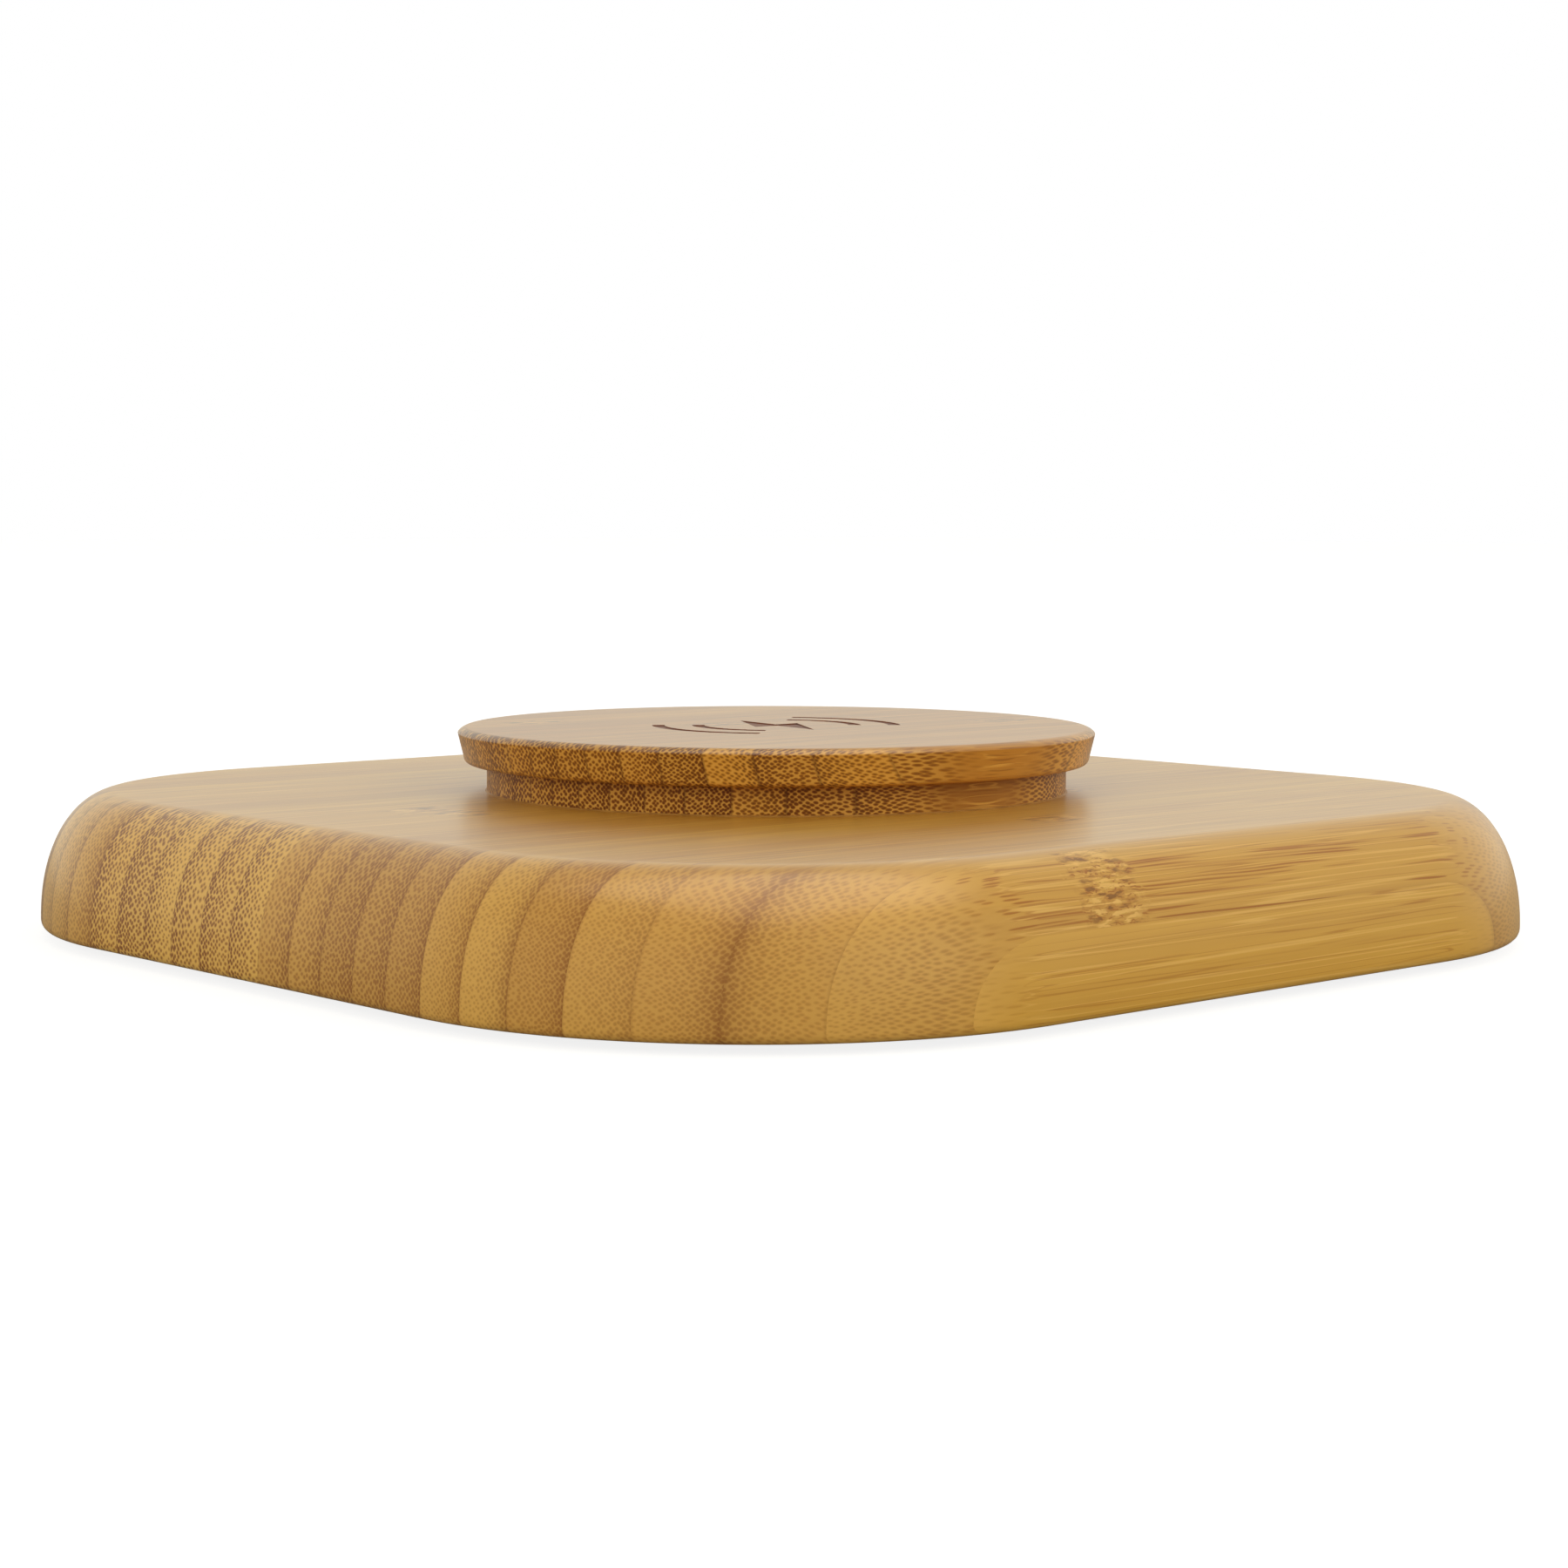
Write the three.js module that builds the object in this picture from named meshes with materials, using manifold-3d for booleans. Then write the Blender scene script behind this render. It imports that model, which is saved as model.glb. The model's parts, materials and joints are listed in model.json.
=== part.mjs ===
// Wireless charging pad. A square bamboo base with large round corners carries a raised round
// charging disc. The coil hangs under the disc, the control board sits behind it, and a plastic
// cover on four silicone feet closes the underside.
//
// Millimetres, +Z up. The origin is under the middle of the pad, where the feet stand. +X runs
// along the bamboo's grain, -Y is the user's side and +Y is the side with the USB-C port.

import * as THREE from "three";
import { mergeVertices } from "three/addons/utils/BufferGeometryUtils.js";
import Module from "manifold-3d";

// ---- Driving dimensions -------------------------------------------------------------------

// Bamboo base
const SIDE = 110;
const CORNER_R = 32;
const BASE_HEIGHT = 11.6;
const SHOULDER_WIDTH = 6.6; // the sides roll over to the top on a quarter ellipse this wide
const SHOULDER_HEIGHT = 10.9; // and this high
const BOTTOM_BREAK = 0.5;

// Raised charging disc, turned in one piece with its neck
const NECK_R = 25.4;
const NECK_HEIGHT = 2.4;
const RIM_BOTTOM_R = 27.4;
const RIM_TOP_R = 27.9;
const RIM_HEIGHT = 3.1;
const RIM_ROUNDING = 0.5;
const EASED_WIDTH = 0.8;
const EASED_HEIGHT = 0.5;
const DISC_SKIN = 1.6; // wood left between the coil and the phone
const GLUE = 0.1;

// Hollows in the base
const WALL = 9;
const CAVITY_CEILING_Z = 8.8;
const SHELF = 2; // the cover rests on a shelf this wide round the cavity
const SHELF_Z = 2.8;
const BORE_R = 24.3; // the bore that joins the cavity to the disc's pocket
const GLUE_RING = { inset: 0.5, setBack: 0.2 }; // in from the bore's edge, and back from the neck's face

// Coil stack
const COIL_INNER_R = 10.4;
const COIL_TURNS = 10;
const COIL_PITCH = 1.1;
const COIL_THICKNESS = 1.2;
const PAD_THICKNESS = 0.2;
const FERRITE_R = 22;
const FERRITE_THICKNESS = 0.8;
const POCKET_R = 22.6;
const LEAD_R = 0.4;
const LEAD_SPREAD = 2.4;
const THERMISTOR_R = 1.2;

// Electronics
const BOARD = { width: 40, depth: 16.5, thickness: 1, frontY: 29, topZ: 5.2 };
const SOCKET = { width: 8.9, height: 3.2, length: 7.3, corner: 1.4, wall: 0.3 };
const PLUG_RECESS = { width: 12.8, height: 6.9, corner: 3.3, floorY: 48.5 };
const TONGUE = { rootWidth: 6.8, rootLength: 1.2, rootHeight: 1.9, width: 6.7, length: 5.4, height: 0.7 };
const LIGHT_PIPE = { r: 0.9, x: 12, z: 6 };
const CONTROLLER = { width: 5, depth: 5, height: 0.9 };
const MOSFET = { width: 3.2, depth: 3.2, height: 0.9 };
const LED = { width: 1.6, depth: 1.2, height: 1 };
const INDUCTOR = { side: 5.2, corner: 1, height: 2.6, edge: 0.3, dimpleR: 1.9, dimpleDepth: 0.15 };
const CAPACITOR = { length: 3.2, width: 2.5, height: 1.8, capLength: 0.6, capProud: 0.1 };

// Underside
const FOOT_PROUD = 0.8;
const FOOT_R = 5;
const FOOT_EDGE = 0.4;
const FOOT_SPACING = 72; // also the spacing of the cover screws, which the feet hide
const COVER_BOTTOM_Z = 1;
const FOOT_SEAT_Z = 1.5;

// Clearances and curve steps
const FIT = 0.15;
const OVERRUN = 1; // how far a cutter runs past the face that it cuts
const HOLE_CLEARANCE = 0.1;
const CORNER_STEPS = 10;
const SMALL_CORNER_STEPS = 4;
const ROUND_STEPS = 60;
const FOOT_STEPS = 28;
const SMALL_ROUND_STEPS = 14;
const WELD = 1e-4;

// ---- Derived sizes ------------------------------------------------------------------------

const HALF = SIDE / 2;
const BASE_BOTTOM_Z = FOOT_PROUD;
const BASE_TOP_Z = BASE_BOTTOM_Z + BASE_HEIGHT;
const NECK_FOOT_Z = BASE_TOP_Z + GLUE;
const RIM_BOTTOM_Z = NECK_FOOT_Z + NECK_HEIGHT;
const DISC_TOP_Z = RIM_BOTTOM_Z + RIM_HEIGHT;
const POCKET_CEILING_Z = DISC_TOP_Z - DISC_SKIN;
const COIL_TOP_Z = POCKET_CEILING_Z - PAD_THICKNESS;
const FERRITE_TOP_Z = COIL_TOP_Z - COIL_THICKNESS;
const CARRIER_TOP_Z = FERRITE_TOP_Z - FERRITE_THICKNESS;
const COIL_OUTER_R = COIL_INNER_R + COIL_TURNS * COIL_PITCH;
const CAVITY_HALF = HALF - WALL;
const CAVITY_CORNER_R = CORNER_R - WALL;
const FOOT_PLACES = squareCorners(FOOT_SPACING);

// ---- Materials ----------------------------------------------------------------------------

const finish = {
  bamboo: { color: 0xd0a463, roughness: 0.42, metalness: 0 },
  bambooDisc: { color: 0xb27b3a, roughness: 0.4, metalness: 0 },
  glue: { color: 0xa8783c, roughness: 0.5, metalness: 0 },
  tape: { color: 0xe8e2d0, roughness: 0.8, metalness: 0 },
  copper: { color: 0xb8653a, roughness: 0.35, metalness: 1 },
  enamelledWire: { color: 0x9c4f26, roughness: 0.4, metalness: 0.6 },
  ferrite: { color: 0x2d2c2e, roughness: 0.75, metalness: 0 },
  blackPlastic: { color: 0x1d1d1f, roughness: 0.6, metalness: 0 },
  chip: { color: 0x141416, roughness: 0.5, metalness: 0 },
  board: { color: 0x14532d, roughness: 0.45, metalness: 0 },
  steel: { color: 0xb9bbbe, roughness: 0.35, metalness: 1 },
  ceramicTan: { color: 0xa8845e, roughness: 0.5, metalness: 0 },
  clear: { color: 0xe6eef2, roughness: 0.1, metalness: 0 },
  led: { color: 0xf4efd8, roughness: 0.3, metalness: 0 },
  silicone: { color: 0x2a2a2c, roughness: 0.85, metalness: 0 },
};

// ---- Solids -------------------------------------------------------------------------------

const wasm = await Module();
wasm.setup();

function solid(geometry) {
  const bare = geometry.clone();
  bare.deleteAttribute("normal");
  bare.deleteAttribute("uv");
  const welded = mergeVertices(bare, WELD);
  const mesh = new wasm.Mesh({
    numProp: 3,
    vertProperties: welded.attributes.position.array,
    triVerts: new Uint32Array(welded.index.array),
  });
  return new wasm.Manifold(mesh);
}

function skin(manifold) {
  const mesh = manifold.getMesh();
  const geometry = new THREE.BufferGeometry();
  const positions = new THREE.BufferAttribute(mesh.vertProperties, mesh.numProp);
  geometry.setAttribute("position", positions);
  geometry.setIndex(new THREE.BufferAttribute(mesh.triVerts, 1));
  return geometry;
}

// A geometry with every tool cut out of it.
function cut(geometry, tools) {
  let body = solid(geometry);
  for (const tool of tools) body = body.subtract(solid(tool));
  return skin(body);
}

function join(geometries) {
  let body = solid(geometries[0]);
  for (const other of geometries.slice(1)) body = body.add(solid(other));
  return skin(body);
}

function common(first, second) {
  return skin(solid(first).intersect(solid(second)));
}

// ---- Outlines and plain bodies ------------------------------------------------------------

function squareCorners(spacing) {
  const half = spacing / 2;
  return [
    [half, half],
    [-half, half],
    [-half, -half],
    [half, -half],
  ];
}

function grid(columns, rows) {
  return rows.flatMap((y) => columns.map((x) => [x, y]));
}

function roundedRectangle(width, depth, radius) {
  const x = width / 2 - radius;
  const y = depth / 2 - radius;
  const shape = new THREE.Shape();
  shape.absarc(x, y, radius, 0, Math.PI / 2);
  shape.absarc(-x, y, radius, Math.PI / 2, Math.PI);
  shape.absarc(-x, -y, radius, Math.PI, Math.PI * 1.5);
  shape.absarc(x, -y, radius, Math.PI * 1.5, Math.PI * 2);
  return shape;
}

// An outline standing on the plane z = bottom.
function prism(shape, bottom, height, steps = CORNER_STEPS) {
  const settings = { depth: height, bevelEnabled: false, curveSegments: steps };
  return new THREE.ExtrudeGeometry(shape, settings).translate(0, 0, bottom);
}

// An outline whose top and bottom edges are quarter ellipses, cut inwards from the outline.
function pillow(shape, bottom, height, edgeWidth, edgeHeight, edgeSteps, cornerSteps) {
  const settings = {
    depth: height - 2 * edgeHeight,
    bevelSize: edgeWidth,
    bevelOffset: -edgeWidth,
    bevelThickness: edgeHeight,
    bevelSegments: edgeSteps,
    curveSegments: cornerSteps,
  };
  return new THREE.ExtrudeGeometry(shape, settings).translate(0, 0, bottom + edgeHeight);
}

function block(width, depth, height, x, y, bottom) {
  return new THREE.BoxGeometry(width, depth, height).translate(x, y, bottom + height / 2);
}

function rod(radius, bottom, top, x = 0, y = 0, steps = SMALL_ROUND_STEPS) {
  const height = top - bottom;
  return new THREE.CylinderGeometry(radius, radius, height, steps)
    .rotateX(Math.PI / 2)
    .translate(x, y, bottom + height / 2);
}

// A body turned about +Z. The profile lists [radius, z] from the lower end of the axis outwards,
// up and back to the axis, or once round a closed ring.
function turned(profile, steps) {
  const points = profile.map(([radius, z]) => new THREE.Vector2(radius, z));
  return new THREE.LatheGeometry(points, steps).rotateX(Math.PI / 2);
}

function ring(innerR, outerR, bottom, top) {
  const profile = [
    [innerR, bottom],
    [outerR, bottom],
    [outerR, top],
    [innerR, top],
    [innerR, bottom],
  ];
  return turned(profile, ROUND_STEPS);
}

// A quarter ellipse from start to end as [radius, z] points. It leaves start vertically.
function quarterEllipse([r0, z0], [r1, z1], steps) {
  const points = [];
  for (let i = 1; i < steps; i++) {
    const angle = (i / steps) * (Math.PI / 2);
    points.push([r1 + (r0 - r1) * Math.cos(angle), z0 + (z1 - z0) * Math.sin(angle)]);
  }
  return [[r0, z0], ...points, [r1, z1]];
}

// ---- Bamboo base --------------------------------------------------------------------------

function baseOutside() {
  const outline = roundedRectangle(SIDE, SIDE, CORNER_R);
  const spare = BASE_HEIGHT; // the rolled body starts below the base and is cut off level
  const shoulderSteps = 7;
  const breakSteps = 1;
  const rolled = pillow(
    outline,
    BASE_TOP_Z - 2 * SHOULDER_HEIGHT - spare,
    2 * SHOULDER_HEIGHT + spare,
    SHOULDER_WIDTH,
    SHOULDER_HEIGHT,
    shoulderSteps,
    CORNER_STEPS,
  );
  const trim = pillow(
    outline,
    BASE_BOTTOM_Z,
    2 * BASE_HEIGHT,
    BOTTOM_BREAK,
    BASE_HEIGHT - SHOULDER_HEIGHT,
    breakSteps,
    CORNER_STEPS,
  );
  return common(rolled, trim);
}

function baseHollows() {
  const cavity = roundedRectangle(2 * CAVITY_HALF, 2 * CAVITY_HALF, CAVITY_CORNER_R);
  const rebateSide = 2 * (CAVITY_HALF + SHELF);
  const rebate = roundedRectangle(rebateSide, rebateSide, CAVITY_CORNER_R + SHELF);
  const below = BASE_BOTTOM_Z - OVERRUN;
  return [
    prism(cavity, below, CAVITY_CEILING_Z - below),
    prism(rebate, below, SHELF_Z - below),
    rod(BORE_R, below, BASE_TOP_Z + OVERRUN, 0, 0, ROUND_STEPS),
  ];
}

// A rounded slot through the rear wall, centred on the socket's axis.
function rearSlot(width, height, corner, fromY, toY) {
  return prism(roundedRectangle(width, height, corner), 0, toY - fromY, SMALL_CORNER_STEPS)
    .rotateX(-Math.PI / 2)
    .translate(0, fromY, SOCKET_Z);
}

function rearOpenings() {
  const outside = HALF + OVERRUN;
  const inside = CAVITY_HALF - OVERRUN;
  const pipeBore = rod(LIGHT_PIPE.r + FIT, inside, outside)
    .rotateX(-Math.PI / 2)
    .translate(LIGHT_PIPE.x, 0, LIGHT_PIPE.z);
  return [
    rearSlot(PLUG_RECESS.width, PLUG_RECESS.height, PLUG_RECESS.corner, PLUG_RECESS.floorY, outside),
    rearSlot(
      SOCKET.width + 2 * FIT,
      SOCKET.height + 2 * FIT,
      SOCKET.corner + FIT,
      inside,
      PLUG_RECESS.floorY + OVERRUN,
    ),
    pipeBore,
  ];
}

function baseShell() {
  const hollow = cut(baseOutside(), baseHollows());
  const rooted = CAVITY_CEILING_Z + OVERRUN;
  const coverPosts = FOOT_PLACES.map(([x, y]) => rod(COVER_POST_R, SHELF_Z, rooted, x, y));
  const boardPosts = BOARD_SCREW_PLACES.map(([x, y]) => rod(BOARD_POST_R, BOARD.topZ, rooted, x, y));
  const pilots = [
    ...FOOT_PLACES.map(([x, y]) => pilot(COVER_SCREW, FOOT_SEAT_Z, x, y)),
    ...BOARD_SCREW_PLACES.map(([x, y]) => pilot(SMALL_SCREW, BOARD_SCREW_Z, x, y)),
    ...CARRIER_SCREW_PLACES.map(([x, y]) => pilot(SMALL_SCREW, CARRIER_SCREW_Z, x, y)),
  ];
  return cut(join([hollow, ...coverPosts, ...boardPosts]), [
    ...rearOpenings(),
    ...pilots,
  ]);
}

// ---- Charging disc ------------------------------------------------------------------------

const SPIGOT_R = BORE_R - 2 * FIT;
const SPIGOT_DEPTH = 2;
const MARK_DEPTH = 0.1;
const MARK_ARC = { halfAngle: 0.7, width: 1.1, radii: [6.9, 10.4] };
const BOLT = { tipX: 1.4, tipY: 6.4, wingX: 3, wingY: 0.6, waist: 0.5 };

function discBody() {
  const edgeSteps = 3;
  const rounded = 0.3 * RIM_ROUNDING; // in and up to the rounding's middle point
  const profile = [
    [0, POCKET_CEILING_Z],
    [POCKET_R, POCKET_CEILING_Z],
    [POCKET_R, NECK_FOOT_Z - SPIGOT_DEPTH],
    [SPIGOT_R, NECK_FOOT_Z - SPIGOT_DEPTH],
    [SPIGOT_R, NECK_FOOT_Z],
    [NECK_R, NECK_FOOT_Z],
    [NECK_R, RIM_BOTTOM_Z],
    [RIM_BOTTOM_R - RIM_ROUNDING, RIM_BOTTOM_Z],
    [RIM_BOTTOM_R - rounded, RIM_BOTTOM_Z + rounded],
    [RIM_BOTTOM_R, RIM_BOTTOM_Z + RIM_ROUNDING],
    ...quarterEllipse(
      [RIM_TOP_R, DISC_TOP_Z - EASED_HEIGHT],
      [RIM_TOP_R - EASED_WIDTH, DISC_TOP_Z],
      edgeSteps,
    ),
    [0, DISC_TOP_Z],
  ];
  return turned(profile, ROUND_STEPS);
}

function arcBand(radius, width, middle, halfAngle) {
  const shape = new THREE.Shape();
  shape.absarc(0, 0, radius + width / 2, middle - halfAngle, middle + halfAngle, false);
  shape.absarc(0, 0, radius - width / 2, middle + halfAngle, middle - halfAngle, true);
  return shape;
}

function boltOutline() {
  const half = [
    new THREE.Vector2(BOLT.tipX, BOLT.tipY),
    new THREE.Vector2(-BOLT.wingX, -BOLT.wingY),
    new THREE.Vector2(-BOLT.waist, -BOLT.wingY),
  ];
  const otherHalf = half.map((point) => point.clone().negate());
  return new THREE.Shape([...half, ...otherHalf]);
}

// The charging mark: a bolt between two pairs of arcs, engraved where the phone's middle goes.
function markTools() {
  const bottom = DISC_TOP_Z - MARK_DEPTH;
  const outlines = [boltOutline()];
  for (const middle of [0, Math.PI])
    for (const radius of MARK_ARC.radii)
      outlines.push(arcBand(radius, MARK_ARC.width, middle, MARK_ARC.halfAngle));
  return outlines.map((outline) => prism(outline, bottom, 2 * MARK_DEPTH));
}

function chargingDisc() {
  return cut(discBody(), markTools());
}

// ---- Screws -------------------------------------------------------------------------------

const COVER_POST_R = 5;
const BOARD_POST_R = 2.4;
const COVER_SCREW = { headR: 2, headHeight: 1.1, threadR: 1.1, length: 6.3, countersunk: true };
const SMALL_SCREW = { headR: 1.5, headHeight: 0.9, threadR: 0.75, length: 4.2, countersunk: false };

// A screw that points up, with the underside of its head's face at z = 0.
function screw({ headR, headHeight, threadR, length, countersunk }) {
  const edge = 0.2;
  const shoulder = countersunk ? [] : [[headR, headHeight]];
  const profile = [
    [0, 0],
    [headR - edge, 0],
    [headR, edge],
    ...shoulder,
    [threadR, headHeight],
    [threadR, length - threadR],
    [0, length],
  ];
  const armLength = 1.1 * headR;
  const armWidth = 0.24 * headR;
  const recessDepth = 0.55 * headHeight;
  return cut(turned(profile, SMALL_ROUND_STEPS), [
    block(armLength, armWidth, 2 * recessDepth, 0, 0, -recessDepth),
    block(armWidth, armLength, 2 * recessDepth, 0, 0, -recessDepth),
  ]);
}

// The blind hole that a screw standing at z = bottom threads into.
function pilot({ threadR, length }, bottom, x, y) {
  return rod(threadR + HOLE_CLEARANCE, bottom, bottom + length + HOLE_CLEARANCE, x, y);
}

// ---- Coil stack ---------------------------------------------------------------------------

const STRAND_WIDTH = 0.92;
const COIL_STEPS_PER_TURN = 24;
const LEAD_STEPS = 26;
const CARRIER = { wall: 1.4, plate: 1.2, flangeR: 28.2, flangeThickness: 1.2 };
const NOTCH_WIDTH = 9; // all the leads pass through a notch towards the board
const NOTCH_FROM_Y = 17.4;
const CARRIER_SCREW_R = 26.2;
const LEAD_SLOT = { x: 1.5, width: 1.8, fromY: 8.8 };

// One strip wound as a flat spiral. Both ends lie on +Y.
function chargingCoil() {
  const steps = COIL_TURNS * COIL_STEPS_PER_TURN;
  const edge = (side, step) => {
    const turns = step / COIL_STEPS_PER_TURN;
    const radius = COIL_INNER_R + turns * COIL_PITCH + (side * STRAND_WIDTH) / 2;
    const angle = Math.PI / 2 + turns * 2 * Math.PI;
    return new THREE.Vector2(radius * Math.cos(angle), radius * Math.sin(angle));
  };
  const outline = [];
  for (let i = 0; i <= steps; i++) outline.push(edge(1, i));
  for (let i = steps; i >= 0; i--) outline.push(edge(-1, i));
  return prism(new THREE.Shape(outline), FERRITE_TOP_Z, COIL_THICKNESS);
}

function leadNotch(bottom, top) {
  const depth = CARRIER.flangeR;
  return block(NOTCH_WIDTH, depth, top - bottom, 0, NOTCH_FROM_Y + depth / 2, bottom);
}

function ferriteSheet() {
  const below = CARRIER_TOP_Z - OVERRUN;
  const above = FERRITE_TOP_Z + OVERRUN;
  const slotLength = FERRITE_R - LEAD_SLOT.fromY;
  const slotY = LEAD_SLOT.fromY + slotLength / 2;
  return cut(rod(FERRITE_R, CARRIER_TOP_Z, FERRITE_TOP_Z, 0, 0, ROUND_STEPS), [
    leadNotch(below, above),
    block(LEAD_SLOT.width, slotLength, above - below, LEAD_SLOT.x, slotY, below),
    rod(LEAD_R + 2 * HOLE_CLEARANCE, below, above),
  ]);
}

function coilCarrier() {
  const outerR = FERRITE_R + HOLE_CLEARANCE;
  const flangeZ = CAVITY_CEILING_Z - CARRIER.flangeThickness;
  const profile = [
    [0, CARRIER_TOP_Z - CARRIER.plate],
    [outerR - CARRIER.wall, CARRIER_TOP_Z - CARRIER.plate],
    [outerR - CARRIER.wall, flangeZ],
    [CARRIER.flangeR, flangeZ],
    [CARRIER.flangeR, CAVITY_CEILING_Z],
    [outerR, CAVITY_CEILING_Z],
    [outerR, CARRIER_TOP_Z],
    [0, CARRIER_TOP_Z],
  ];
  const grooveLength = FERRITE_R - LEAD_SLOT.fromY;
  const grooveY = LEAD_SLOT.fromY + grooveLength / 2;
  const screwHoleR = SMALL_SCREW.threadR + HOLE_CLEARANCE;
  return cut(turned(profile, ROUND_STEPS), [
    leadNotch(flangeZ - OVERRUN, CARRIER_TOP_Z + OVERRUN),
    block(LEAD_SLOT.width, grooveLength, 2 * LEAD_R, LEAD_SLOT.x, grooveY, CARRIER_TOP_Z - LEAD_R),
    rod(2 * THERMISTOR_R, flangeZ, CARRIER_TOP_Z + OVERRUN),
    ...CARRIER_SCREW_PLACES.map(([x, y]) =>
      rod(screwHoleR, flangeZ - OVERRUN, CAVITY_CEILING_Z + OVERRUN, x, y),
    ),
  ]);
}

// A lead along a smooth curve through its points.
function wire(points) {
  const path = new THREE.CatmullRomCurve3(points.map(([x, y, z]) => new THREE.Vector3(x, y, z)));
  const section = new THREE.Shape().absarc(0, 0, LEAD_R, 0, 2 * Math.PI);
  return new THREE.ExtrudeGeometry(section, {
    steps: LEAD_STEPS,
    extrudePath: path,
    curveSegments: SMALL_CORNER_STEPS,
  });
}

// Every lead drops through the notch and lands on the board's front edge.
function dropToBoard(x) {
  const landing = BOARD.topZ + LEAD_R + HOLE_CLEARANCE;
  return [
    [x, 20.6, 10.4],
    [x, 22.4, 7.2],
    [x, 26, landing + 0.2],
    [x, BOARD.frontY + 1.2, landing],
    [x, BOARD.frontY + 3, landing],
  ];
}

function outerLead() {
  const coilMiddleZ = COIL_TOP_Z - COIL_THICKNESS / 2;
  const endY = COIL_OUTER_R - 0.1;
  return wire([
    [-0.35, endY, coilMiddleZ],
    [-1.3, endY - 0.1, coilMiddleZ - 0.1],
    [-2.3, endY - 0.3, coilMiddleZ - 1.6],
    ...dropToBoard(-LEAD_SPREAD),
  ]);
}

function innerLead() {
  const coilMiddleZ = COIL_TOP_Z - COIL_THICKNESS / 2;
  const slotZ = FERRITE_TOP_Z - LEAD_R - HOLE_CLEARANCE;
  return wire([
    [0.5, COIL_INNER_R - 0.2, coilMiddleZ],
    [1.2, COIL_INNER_R - 0.5, coilMiddleZ - 0.3],
    [LEAD_SLOT.x, COIL_INNER_R - 0.4, slotZ + 0.1],
    [LEAD_SLOT.x, COIL_INNER_R + 0.8, slotZ],
    [LEAD_SLOT.x, NOTCH_FROM_Y - 0.4, slotZ],
    [LEAD_SLOT.x, NOTCH_FROM_Y + 1, slotZ - 0.2],
    ...dropToBoard(LEAD_SPREAD),
  ]);
}

function thermistor() {
  const height = COIL_THICKNESS;
  const profile = [
    [0, 0],
    [0.7 * THERMISTOR_R, 0],
    [THERMISTOR_R, 0.3 * height],
    [THERMISTOR_R, 0.7 * height],
    [0.7 * THERMISTOR_R, height],
    [0, height],
  ];
  return turned(profile, SMALL_ROUND_STEPS).translate(0, 0, FERRITE_TOP_Z);
}

function thermistorLead() {
  return wire([
    [0, 0, FERRITE_TOP_Z - HOLE_CLEARANCE],
    [0, 0.2, CARRIER_TOP_Z - 2.2],
    [0, 3.5, CARRIER_TOP_Z - 4.6],
    [0, 14, CARRIER_TOP_Z - 6],
    ...dropToBoard(0).slice(1),
  ]);
}

// ---- Electronics, placed round the socket's mouth -----------------------------------------

const SOCKET_Z = BOARD.topZ + SOCKET.height / 2;
const BOARD_MIDDLE_Y = BOARD.frontY + BOARD.depth / 2;
const BOARD_SCREW = { fromMiddle: 17, fromEdge: 3 };
const BOARD_SCREW_PLACES = [
  [-BOARD_SCREW.fromMiddle, BOARD.frontY + BOARD_SCREW.fromEdge],
  [BOARD_SCREW.fromMiddle, BOARD.frontY + BOARD_SCREW.fromEdge],
  [-BOARD_SCREW.fromMiddle, BOARD.frontY + BOARD.depth - BOARD_SCREW.fromEdge],
];
const SOCKET_BACK_Y = PLUG_RECESS.floorY - SOCKET.length - BOARD_MIDDLE_Y;
const CONTROLLER_PLACE = [9.6, 1.6];
const INDUCTOR_PLACE = [-9.8, 4.2];
const LED_PLACE = [LIGHT_PIPE.x, BOARD.depth / 2 - 0.8];
const MOSFET_PLACES = grid([-12.4, -8.2], [-6.4, -2.6]);
const CAPACITOR_PLACES = grid([8.2, 12.2], [-6.2, -2.9]);
const BOARD_SCREW_Z = BOARD.topZ - BOARD.thickness - SMALL_SCREW.headHeight;
const CARRIER_SCREW_Z = CAVITY_CEILING_Z - CARRIER.flangeThickness - SMALL_SCREW.headHeight;
const CARRIER_SCREW_PLACES = [30, 150, 270].map((degrees) => {
  const angle = THREE.MathUtils.degToRad(degrees);
  return [CARRIER_SCREW_R * Math.cos(angle), CARRIER_SCREW_R * Math.sin(angle)];
});

function controlBoard() {
  const cornerR = 1;
  const outline = roundedRectangle(BOARD.width, BOARD.depth, cornerR);
  const holeR = SMALL_SCREW.threadR + HOLE_CLEARANCE;
  const holes = BOARD_SCREW_PLACES.map(([x, y]) =>
    rod(holeR, -2 * BOARD.thickness, BOARD.thickness, x, y - BOARD_MIDDLE_Y),
  );
  return cut(prism(outline, -BOARD.thickness, BOARD.thickness, SMALL_CORNER_STEPS), holes);
}

// The metal shell of a USB-C receptacle: a rounded tube along Y, closed at the back.
function socketShell() {
  const { width, height, length, corner, wall } = SOCKET;
  const outside = prism(roundedRectangle(width, height, corner), 0, length, SMALL_CORNER_STEPS);
  const bore = roundedRectangle(width - 2 * wall, height - 2 * wall, corner - wall);
  return cut(outside, [prism(bore, wall, length, SMALL_CORNER_STEPS)])
    .rotateX(-Math.PI / 2)
    .translate(0, 0, height / 2);
}

// The tongue's contact plate on its thicker root, both standing on the shell's back wall.
function socketTongue() {
  const step = (width, length, height) =>
    block(width, length, height, 0, SOCKET.wall + length / 2, -height / 2);
  const root = step(TONGUE.rootWidth, TONGUE.rootLength, TONGUE.rootHeight);
  const plate = step(TONGUE.width, TONGUE.length, TONGUE.height);
  return join([root, plate]).translate(0, 0, SOCKET.height / 2);
}

function chipPackage({ width, depth, height }) {
  const cornerR = 0.2;
  const edge = 0.12;
  return pillow(roundedRectangle(width, depth, cornerR), 0, height, edge, edge, 1, 1);
}

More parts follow.
